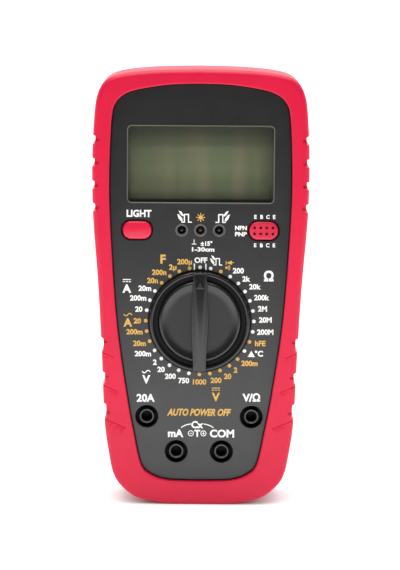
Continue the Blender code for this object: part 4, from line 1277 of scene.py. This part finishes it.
@dataclass
class Selector:
    """The range knob: rimmed disc, turning bar and pointer.

    Profiles give the radius and the level above the face.
    """

    rise: float = 77.7
    radius: float = 21.3
    bar_width: float = 7.0
    bar_end: float = 5.6
    bar_root: float = 1.2
    bar_top: float = 5.85
    bar_soft: float = 0.6
    bar_margin: float = 0.45
    profile: Sequence[Pair] = (
        (0.0, 2.5), (12.6, 2.5), (13.6, 2.53), (14.5, 2.63), (15.3, 2.8), (15.75, 2.91), (16.1, 2.96),
        (16.45, 2.91), (16.75, 2.75), (17.0, 2.45), (17.3, 1.9), (17.55, 1.3), (17.85, 0.6), (19.1, 0.6),
        (19.3, 2.3), (19.4, 2.62), (19.6, 2.84), (19.9, 2.92), (20.45, 2.92), (20.75, 2.8), (20.97, 2.5),
        (21.05, 2.1), (21.05, 0.7), (20.8, 0.3), (7.6, 0.3), (7.6, -2.8), (4.0, -2.8), (4.0, -5.6),
        (0.0, -5.6),
    )
    # A black ring laid in the knob's moat: painted shade in the recess.
    moat_shade: Sequence[Pair] = ((17.3, 0.5), (17.6, 1.0), (19.2, 1.0), (19.3, 0.5))
    # A black ring on the face round the knob: partly the real gap, partly painted shade.
    seat_inner: float = 20.0
    seat_margin: float = 0.45
    seat_levels: Pair = (-0.3, 0.05)
    pointer_apex: float = 18.4
    pointer_base: float = 14.2
    pointer_half: float = 2.0
    pointer_middle: float = 0.36
    pointer_crest: float = 1 - 0.45 / 1.1
    pointer_levels: Triple = (-0.3, 0.0, 0.42)

    def bar_loop(self, inset: float) -> Loop:
        """Outline the bar: bulging sides, and ends that follow the knob's rim.

        Args:
            inset: How far the outline moves inwards.

        Returns:
            The outline, anticlockwise.
        """
        reach = self.radius - self.bar_margin - inset
        end_half = self.bar_end / 2 - inset
        bulge = (self.bar_width - self.bar_end) / 2
        end = math.sqrt(reach**2 - end_half**2)
        sweep = math.asin(end_half / reach)
        side = []
        for step in range(-8, 9):
            part = step / 8
            side.append(Vector((end_half + bulge * math.cos(math.pi * part / 2) ** 2, end * part)))
        for step in range(1, 8):
            angle = sweep * (1 - step / 4)
            side.append(Vector((reach * math.sin(angle), reach * math.cos(angle))))
        return side + [-p for p in side]

    def build(self) -> None:
        """Build the knob in place of its CAD node."""
        at = (0.0, self.rise)
        Shape().turned(self.profile, at, 96).piece("knob_disc", KNOB, Body.SELECTOR, ["selector_knob"])
        steps = [(0.0, self.bar_root)]
        steps += [(inset, self.bar_top - drop) for inset, drop in round_over(self.bar_soft, 5)]
        bar = [at_level(self.bar_loop(inset), FACE + lift, at) for inset, lift in steps]
        Shape().loft(bar).piece("knob_bar", KNOB, Body.SELECTOR)
        self.pointer()
        # Painted shade: the black ring darkens the moat of the knob.
        Shape().turned(self.moat_shade, at, 96, ring=True).piece("knob_moat_shade", BLACK, Body.SELECTOR)
        # Black ring round the knob: partly the real gap, partly painted shade.
        seat = flat_ring(self.seat_inner, self.radius + self.seat_margin, *self.seat_levels)
        Shape().turned(seat, at, 96, ring=True).piece("knob_gap_shade", BLACK, Body.METER)

    def pointer(self) -> None:
        """Build the raised arrowhead on the bar's upper end."""
        apex, base, half = self.pointer_apex, self.pointer_base, self.pointer_half
        outer = [Vector((0.0, apex)), Vector((-half, base)), Vector((half, base))]
        middle = Vector((0.0, base + (apex - base) * self.pointer_middle))
        inner = [middle + (p - middle) * self.pointer_crest for p in outer]
        loops = [at_level(loop, FACE + self.bar_top + lift, (0.0, self.rise))
                 for loop, lift in zip((outer, outer, inner), self.pointer_levels)]
        Shape().loft(loops).piece("knob_pointer", KNOB, Body.SELECTOR, angle=CRISP_ANGLE)


@dataclass
class Sockets:
    """The four shrouded input sockets. Profiles give the radius and the level above the face."""

    places: Sequence[tuple[str, Pair]] = (
        ("20a", (-22.0, 37.0)), ("ma", (-9.525, 22.1)), ("com", (9.525, 22.1)), ("volt", (22.0, 37.0)),
    )
    collar: Sequence[Pair] = ((5.85, -0.6), (5.85, 0.03), (5.12, 0.03), (5.12, -0.6))
    chamfer: Sequence[Pair] = ((5.11, -0.6), (5.11, 0.02), (5.08, 0.04), (4.8, -0.45), (4.8, -0.6))
    shroud: Sequence[Pair] = (
        (4.85, -0.62), (4.85, -7.8), (3.2, -7.8), (3.2, -6.6), (4.65, -6.5), (4.65, -0.66), (4.69, -0.62),
    )
    sleeve: Sequence[Pair] = (
        (2.0, -7.6), (2.0, -1.5), (2.3, -0.95), (2.45, -0.82), (2.95, -0.8), (3.1, -0.95), (3.1, -7.6),
    )
    # A black disc at the bottom of each bore: painted shade in the hole.
    floor: Sequence[Pair] = ((0.0, -7.2), (1.98, -7.2), (1.98, -7.6), (0.0, -7.6))

    def build(self) -> None:
        """Build each socket's collar, shroud and sleeve in place of the CAD nodes."""
        for name, at in self.places:
            for part, finish, profile, steps, ring, nodes in (
                ("collar", CASE, self.collar, 56, True, []),
                # The chamfer is in the lighter case plastic, a painted highlight.
                ("chamfer", RIM_HIGHLIGHT, self.chamfer, 56, True, []),
                ("shroud", BLACK, self.shroud, 48, True, [f"jack_shroud_{name}"]),
                # The sleeve's nickel is darkened: painted shade inside the socket.
                ("sleeve", SHADED_SLEEVE_PLATE, self.sleeve, 48, True, [f"jack_sleeve_{name}"]),
                # The black disc in the bore is painted shade.
                ("floor", BLACK, self.floor, 24, False, []),
            ):
                turned = Shape().turned(profile, at, steps, ring)
                turned.piece(f"socket_{part}_{name}", finish, Body.METER, nodes)


@dataclass(frozen=True)
class Label:
    """One range of the dial: its text, its move from the dot, and its ink."""

    text: str = ""
    across: float = 0.0
    up: float = 0.0
    ink: Ink = Ink.WHITE


@dataclass(frozen=True)
class Text:
    """A line of text: what it says, its middle on the face, its size, ink, set width and slant."""

    says: str
    x: float
    y: float
    size: float
    ink: Ink = Ink.WHITE
    width: float = 0.0
    lean: float = 0.0


@dataclass
class FacePrint:
    """The printed face: the dial's scale, the symbols and the sockets' names."""

    centre: float = 77.7
    dots: float = 22.65
    dot_radius: float = 0.78
    lift: float = 0.01
    thickness: float = 0.03
    bold: float = 0.04
    size: float = 3.05
    group_size: float = 4.7
    sign_rise: float = 3.3
    labels: Sequence[Label] = (
        Label("OFF", 0.3, 3.0), Label(), Label(ink=Ink.AMBER), Label("200", 3.4, 2.5),
        Label("2k", 3.3, 1.9), Label("20k", 4.15, 2.05), Label("200k", 4.9, 1.4), Label("2M", 4.0, 0.95),
        Label("20M", 4.8, 0.65), Label("200M", 5.25, -0.1), Label("hFE", 4.5, -0.65, Ink.AMBER), Label(),
        Label("200m", 5.0, -1.8, Ink.AMBER), Label("2", 2.6, -1.85, Ink.AMBER),
        Label("20", 3.2, -2.45, Ink.AMBER), Label("200", 2.6, -2.9, Ink.AMBER),
        Label("1000", 0.1, -3.2, Ink.AMBER), Label("750", -2.1, -3.1), Label("200", -3.5, -2.6),
        Label("20", -3.5, -1.8), Label("2", -2.7, -1.55), Label("200m", -4.9, -1.4),
        Label("20m", -4.25, -0.95, Ink.AMBER), Label("200m", -5.1, -0.3, Ink.AMBER),
        Label("20", -3.5, -0.1, Ink.AMBER), Label("20", -3.3, 0.45), Label("200m", -4.9, 0.9),
        Label("20m", -4.2, 1.1), Label("20n", -3.85, 0.95, Ink.AMBER), Label("200n", -4.5, 1.6, Ink.AMBER),
        Label("2µ", -2.75, 1.5, Ink.AMBER), Label("200µ", -2.1, 2.5, Ink.AMBER),
    )
    texts: Sequence[Text] = (
        Text("F", -15.5, 103.7, 5.0, Ink.AMBER), Text("Ω", 28.7, 96.9, 5.6), Text("°C", 24.9, 64.1, 3.2),
        Text("LIGHT", -25.6, 122.8, 3.9, width=10.4), Text("±15°", 2.6, 110.4, 2.5),
        Text("1-30cm", 1.2, 107.9, 2.4, width=9.4), Text("NPN", 16.9, 117.0, 2.4, width=4.9),
        Text("PNP", 16.9, 114.4, 2.4, width=4.9), Text("20A", -22.5, 44.9, 4.4),
        Text("V/Ω", 21.9, 45.4, 4.4), Text("mA", -9.8, 29.9, 4.4),
        Text("COM", 9.7, 29.9, 4.4, width=10.3), Text("Cx", -0.7, 33.6, 4.0),
        Text("T", -0.7, 29.9, 4.0), Text("AUTO POWER OFF", 0.0, 38.9, 4.0, Ink.AMBER, width=27.0, lean=0.28),
    )

    def __post_init__(self) -> None:
        """Open one shape for each ink."""
        self.shapes = {ink: Shape() for ink in Ink}

    def letters(self, text: Text) -> bpy.types.Mesh:
        """Set a line of text as a thin mesh about the origin.

        Args:
            text: The line.

        Returns:
            The mesh, in millimetres.
        """
        data = bpy.data.curves.new("letters", "FONT")
        data.body = text.says
        data.size = text.size
        data.offset = self.bold * text.size
        data.shear = text.lean
        data.extrude = self.thickness / 2
        data.resolution_u = 3
        line = linked("letters", data)
        bpy.context.view_layer.update()
        mesh = bpy.data.meshes.new_from_object(line.evaluated_get(bpy.context.evaluated_depsgraph_get()))
        bpy.data.objects.remove(line, do_unlink=True)
        return mesh

    def put(self, text: Text) -> None:
        """Print a line of text with its middle at its place on the face.

        Args:
            text: The line.
        """
        mesh = self.letters(text)
        xs = [v.co.x for v in mesh.vertices]
        ys = [v.co.y for v in mesh.vertices]
        middle = Vector((-(min(xs) + max(xs)) / 2, -(min(ys) + max(ys)) / 2, 0.0))
        stretch = text.width / (max(xs) - min(xs)) if text.width else 1.0
        place = Matrix.Translation((text.x, text.y, FACE + self.lift + self.thickness / 2))
        mesh.transform(place @ Matrix.Diagonal((stretch, 1.0, 1.0, 1.0)) @ Matrix.Translation(middle))
        self.shapes[text.ink].mesh.from_mesh(mesh)
        bpy.data.meshes.remove(mesh)

    def patch(self, points: Sequence[Pair] | Loop, ink: Ink, centre: Pair) -> None:
        """Print a filled patch.

        Args:
            points: Its outline.
            ink: Its colour.
            centre: Where the outline's origin lies on the face.
        """
        low = FACE + self.lift
        self.shapes[ink].prism([Vector(p) for p in points], low, low + self.thickness, centre)

    def stroke(self, points: Sequence[Pair], width: float, ink: Ink, centre: Pair = MIDDLE) -> None:
        """Print a line of short straight strokes.

        Args:
            points: The line's points.
            width: Its width.
            ink: Its colour.
            centre: Where the points' origin lies on the face.
        """
        line = [Vector(p) for p in points]
        ways = [(b - a).normalized() for a, b in zip(line, line[1:])]
        low = FACE + self.lift
        high = low + self.thickness
        rows = []
        for i, point in enumerate(line):
            before, after = ways[max(i - 1, 0)], ways[min(i, len(ways) - 1)]
            mitre = (before + after).normalized()
            across = Vector((-mitre.y, mitre.x)) * width / 2 / max(0.5, mitre.dot(after))
            if i in (0, len(line) - 1):
                point = point + after * (width / 2 if i else -width / 2)
            left, right = point + across + Vector(centre), point - across + Vector(centre)
            corners = ((left, low), (right, low), (right, high), (left, high))
            rows.append([Vector((*place, level)) for place, level in corners])
        self.shapes[ink].loft(rows)

    def scale(self) -> None:
        """Print the dots and the ranges round the dial."""
        for i, label in enumerate(self.labels):
            angle = math.radians(360 * i / len(self.labels))
            x, y = self.dots * math.sin(angle), self.centre + self.dots * math.cos(angle)
            self.patch(circle(self.dot_radius, 16), label.ink, (x, y))
            if label.text:
                self.put(Text(label.text, x + label.across, y + label.up, self.size, label.ink))

    def pulse(self, centre: Pair, side: int = 1, share: float = 1.0) -> None:
        """Print the pulse sign: a square step and two leaves that point at it.

        Args:
            centre: Its place on the face.
            side: 1 with the leaves on the left, -1 on the right.
            share: Its size, as a share of the full size.
        """
        step = [(-1.0, -1.9), (0.0, -1.9), (0.0, 1.3), (1.7, 1.3), (1.7, -1.9), (2.8, -1.9)]
        upper = [(-2.4, 2.9), (-1.3, 2.5), (-0.4, 1.3), (-0.35, 0.6), (-0.9, 0.6), (-1.8, 1.5)]
        lower = [(-3.0, 1.5), (-2.1, 1.1), (-0.95, -0.3), (-0.75, -1.4), (-1.4, -1.5), (-2.4, -0.4)]
        line, *leaves = ([(side * share * x, share * y) for x, y in part] for part in (step, upper, lower))
        self.stroke(line, 0.5 * share, Ink.WHITE, centre)
        for leaf in leaves:
            self.patch(leaf[::-side], Ink.WHITE, centre)

    def sun(self, centre: Pair) -> None:
        """Print a small sun.

        Args:
            centre: Its place on the face.
        """
        self.patch(circle(0.85, 16), Ink.AMBER, centre)
        for i in range(8):
            angle = math.radians(45 * i)
            way = Vector((math.cos(angle), math.sin(angle)))
            self.stroke([tuple(way * 1.1), tuple(way * 1.7)], 0.34, Ink.AMBER, centre)

    def steady(self, centre: Pair, ink: Ink) -> None:
        """Print the sign of direct current: a line over dashes.

        Args:
            centre: Its place on the face.
            ink: Its colour.
        """
        self.stroke([(-1.5, 0.5), (1.5, 0.5)], 0.4, ink, centre)
        for x in (-1.25, 0.0, 1.25):
            self.stroke([(x - 0.25, -0.4), (x + 0.25, -0.4)], 0.4, ink, centre)

    def alternating(self, centre: Pair, ink: Ink) -> None:
        """Print the sign of alternating current: one wave."""
        points = [(1.6 * t / 6, 0.55 * math.sin(math.pi * t / 6)) for t in range(-6, 7)]
        self.stroke(points, 0.42, ink, centre)

    def symbols(self) -> None:
        """Print the groups' letters and signs round the dial."""
        for letter, x, y, ink, sign in (
            ("A", -30.6, 91.2, Ink.WHITE, self.steady), ("A", -30.1, 76.9, Ink.AMBER, self.alternating),
            ("V", -22.3, 52.8, Ink.WHITE, self.alternating), ("V", 7.0, 45.5, Ink.AMBER, self.steady),
        ):
            self.put(Text(letter, x, y, self.group_size, ink))
            sign((x, y + self.sign_rise), ink)
        for x in (-2.4, 2.4):
            self.stroke([(0.0, -1.1), (0.0, 1.1)], 0.55, Ink.WHITE, (x, self.centre + self.dots + 0.2))
        self.pulse((6.6, 103.0), share=0.85)
        diode, sounder, peak = (12.3, 102.4), (11.0, 100.3), (21.7, 63.8)
        self.patch([(-1.2, -0.1), (1.0, -0.95), (1.0, 0.95)], Ink.AMBER, diode)
        self.stroke([(-1.45, -0.7), (-1.45, 0.6)], 0.3, Ink.AMBER, diode)
        self.stroke([(1.3, 0.0), (1.7, 0.0)], 0.3, Ink.AMBER, diode)
        self.patch(circle(0.55, 12), Ink.AMBER, sounder)
        for reach in (0.95, 1.5):
            turns = [math.radians(15 * t) for t in range(-3, 4)]
            arc = [(reach * math.cos(turn), reach * math.sin(turn)) for turn in turns]
            self.stroke(arc, 0.26, Ink.AMBER, sounder)
        self.patch([(-1.5, -1.2), (1.5, -1.2), (0.0, 1.5)], Ink.WHITE, peak)

    def names(self) -> None:
        """Print the signs and letters of the key, the sockets and the lamps."""
        self.pulse((-6.7, 121.2))
        self.sun((0.1, 121.3))
        self.pulse((9.3, 121.2), -1)
        for line in ([(-0.8, -0.8), (0.8, -0.8)], [(0.0, -0.5), (0.0, 1.0)]):
            self.stroke(line, 0.3, Ink.WHITE, (-2.6, 110.9))
        for i, letter in enumerate("EBCE"):
            for y in (121.7, 109.8):
                self.put(Text(letter, 26.8 + (i - 1.5) * 2.6, y, 2.2))
        ring = flat_ring(1.25, 0.92, self.lift, self.lift + self.thickness)
        minus, plus = (-3.4, 29.9), (1.9, 29.9)
        for at in (minus, plus):
            self.shapes[Ink.WHITE].turned(ring, at, 24, ring=True)
            self.stroke([(-0.35, 0.0), (0.35, 0.0)], 0.3, Ink.WHITE, at)
        for side in (-1, 1):
            self.stroke([(0.0, side * 0.32), (0.0, side * 0.38)], 0.3, Ink.WHITE, plus)
            arc = [(side * (2.9 + 0.75 * t) - 0.7, 33.9 - 0.028 * (t + 1) ** 2.2) for t in range(6)]
            self.stroke(arc, 0.42, Ink.WHITE)

    def build(self) -> None:
        """Print everything, and close one piece for each ink."""
        self.scale()
        self.symbols()
        self.names()
        for text in self.texts:
            self.put(text)
        for ink, shape in self.shapes.items():
            shape.piece(f"print_{ink.value}", INKS[ink], Body.METER, angle=CRISP_ANGLE)


class Inside:
    """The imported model's own nodes: the case and what it holds."""

    finishes: dict[str, Finish] = {
        "front_case": CASE, "rear_case": CASE, "battery_door": CASE, "lcd_glass": LCD, "lcd_holder": WHITE,
        "backlight_panel": WHITE, "contact_strip": GREY_RUBBER, "main_board": BOARD, "measuring_chip": BLACK,
        "calibration_trimmer": WHITE, "filter_capacitor": SLEEVE, "buzzer": BLACK, "current_shunt": COPPER,
        "fuse_tube": GLASS, "fuse_cap_left": NICKEL, "fuse_cap_right": NICKEL, "fuse_clip_left": BRASS,
        "fuse_clip_right": BRASS, "battery": JACKET, "battery_snap": BLACK, "battery_lead_red": LEAD_RED,
        "battery_lead_black": BLACK, "light_switch": BLACK, "switch_plunger": GREY_RUBBER,
        "receiver_diode": SMOKED, "emitter_diode": SMOKED, "indicator_lamp": AMBER_EPOXY,
        "selector_rotor": WHITE, "detent_ring": WHITE, "wiper_contact_1": BRASS,
        "wiper_contact_2": BRASS, "wiper_contact_3": BRASS,
    }

    def dress(self) -> None:
        """Give every CAD node a finish, and steel where nothing else is named."""
        for name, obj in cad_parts.items():
            finish = self.finishes.get(name, STEEL)
            coat(obj, finish)
            LOG.info("CAD node %s in %s", name, finish.name)


@dataclass(frozen=True)
class SoftBox:
    """A soft light: its name, its place and sides in metres, and its power in watts."""

    name: str
    place: Triple
    size: Pair
    power: float


@dataclass
class Studio:
    """Floor, light and the camera of the photograph.

    The camera's sizes are millimetres, degrees and pixels. A span says where the light of
    the floor or of the room changes.
    """

    distance: float = 1100.0
    elevation: float = 7.5
    roll: float = 0.42
    aim: Triple = (0.0, 90.4, 19.0)
    focal_pixels: float = 2594.0
    image_height: float = 570.0
    principal_rise: float = 286.05
    sensor: float = 36.0
    nearest: float = 0.05
    floor_reach: float = 20.0
    floor_roughness: float = 0.7
    floor_tones: Pair = (0.08, 0.5)
    behind_span: Pair = (0.12, 0.5)
    front_span: Pair = (-0.22, -0.012)
    fade_span: Pair = (-0.7, -0.34)
    near_glow: float = 1.0
    far_glow: float = 0.95
    front_glow: float = 1.1
    painted_shadow_reach: float = 0.03
    wall_span: Pair = (-0.2, 0.5)
    wall_tones: Pair = (0.1, 1.05)
    ceiling_span: Pair = (0.35, 0.75)
    ceiling: float = 0.5
    lit_point: Triple = (0.0, 0.0, 0.09)
    lights: Sequence[SoftBox] = (
        SoftBox("overhead", (0.0, -0.05, 1.0), (0.8, 0.7), 7.2),
        SoftBox("front", (-0.25, -0.9, 1.3), (0.5, 0.5), 4.0),
    )

    def camera(self) -> None:
        """Stand the camera where the photograph was taken from."""
        tilt, roll = math.radians(self.elevation), math.radians(self.roll)
        back = Vector((0.0, math.sin(tilt), math.cos(tilt)))
        right = Vector((1.0, 0.0, 0.0))
        up = back.cross(right)
        turned_right = right * math.cos(roll) + up * math.sin(roll)
        turned_up = up * math.cos(roll) - right * math.sin(roll)
        turn = TO_WORLD.to_3x3() * (1.0 / MM)
        axes = [turn @ v for v in (turned_right, turned_up, back)]
        data = bpy.data.cameras.new("camera")
        data.sensor_width = self.sensor
        data.lens = self.focal_pixels * self.sensor / self.image_height
        data.shift_y = (self.principal_rise - self.image_height / 2) / self.image_height
        data.clip_start = self.nearest
        obj = linked("camera", data)
        place = TO_WORLD @ (Vector(self.aim) + back * self.distance)
        obj.matrix_world = Matrix.Translation(place) @ Matrix(axes).transposed().to_4x4()
        bpy.context.scene.camera = obj

    def lamp(self, light: SoftBox) -> None:
        """Hang a soft box that faces the meter.

        Args:
            light: The soft box.
        """
        data = bpy.data.lights.new(light.name, "AREA")
        data.shape = "RECTANGLE"
        data.size, data.size_y = light.size
        data.energy = light.power
        obj = linked(light.name, data)
        obj.location = light.place
        way = Vector(self.lit_point) - Vector(light.place)
        obj.rotation_euler = way.to_track_quat("-Z", "Y").to_euler()

    def floor(self) -> None:
        """Lay the floor, which glows around the meter and fades out well in front of it; near the meter its
        glow is dimmed by ambient occlusion, a painted contact shadow.
        """
        data = bpy.data.meshes.new("floor")
        far = self.floor_reach
        corners = [(-far, -far, 0.0), (far, -far, 0.0), (far, far, 0.0), (-far, far, 0.0)]
        data.from_pydata(corners, [], [(0, 1, 2, 3)])
        made = bpy.data.materials.new("floor_paper")
        nodes = Nodes(made)
        shader = nodes.tree.nodes["Principled BSDF"]
        shader.inputs["Roughness"].default_value = self.floor_roughness
        shader.inputs["Emission Color"].default_value = WHITE_LIGHT
        depth = nodes.axes(Place.OBJECT).outputs["Y"]
        behind = nodes.ramp(depth, self.behind_span, (self.near_glow, self.far_glow))
        front = nodes.ramp(depth, self.front_span, (self.front_glow, 0.0))
        fade = nodes.ramp(depth, self.fade_span, (0.0, 1.0))
        nodes.link(nodes.ramp(depth, self.fade_span, self.floor_tones), shader, "Base Color")
        # Painted contact shadow: ambient occlusion dims the floor's glow close to the meter.
        contact = nodes.add("AmbientOcclusion", {"Distance": self.painted_shadow_reach})
        glow = nodes.combine(Operation.MULTIPLY, nodes.combine(Operation.ADD, behind, front), fade)
        glow = nodes.combine(Operation.MULTIPLY, glow, contact.outputs["AO"])
        nodes.link(glow, shader, "Emission Strength")
        data.materials.append(made)
        linked("floor", data)

    def surround(self) -> None:
        """Surround the meter with a room that is pale behind and above it and dim in front."""
        room = bpy.data.worlds.new("room")
        nodes = Nodes(room)
        bpy.context.scene.world = room
        axes = nodes.axes(Place.DIRECTION)
        wall = nodes.ramp(axes.outputs["Y"], self.wall_span, self.wall_tones)
        above = nodes.ramp(axes.outputs["Z"], self.ceiling_span, (0.0, self.ceiling))
        sky = nodes.tree.nodes["Background"]
        sky.inputs["Color"].default_value = WHITE_LIGHT
        nodes.link(nodes.combine(Operation.ADD, wall, above), sky, "Strength")

    def build(self) -> None:
        """Set up floor, room, lights and camera."""
        self.floor()
        self.surround()
        for light in self.lights:
            self.lamp(light)
        bpy.context.scene.view_settings.view_transform = "Standard"
        self.camera()


def main() -> None:
    """Build every sub-assembly in order."""
    logging.basicConfig(level=logging.INFO, format="%(message)s")
    Inside().dress()
    Holster().build()
    Stand().build()
    Display().build()
    ControlRow().build()
    Selector().build()
    Sockets().build()
    FacePrint().build()
    Studio().build()


if __name__ == "__main__":
    main()
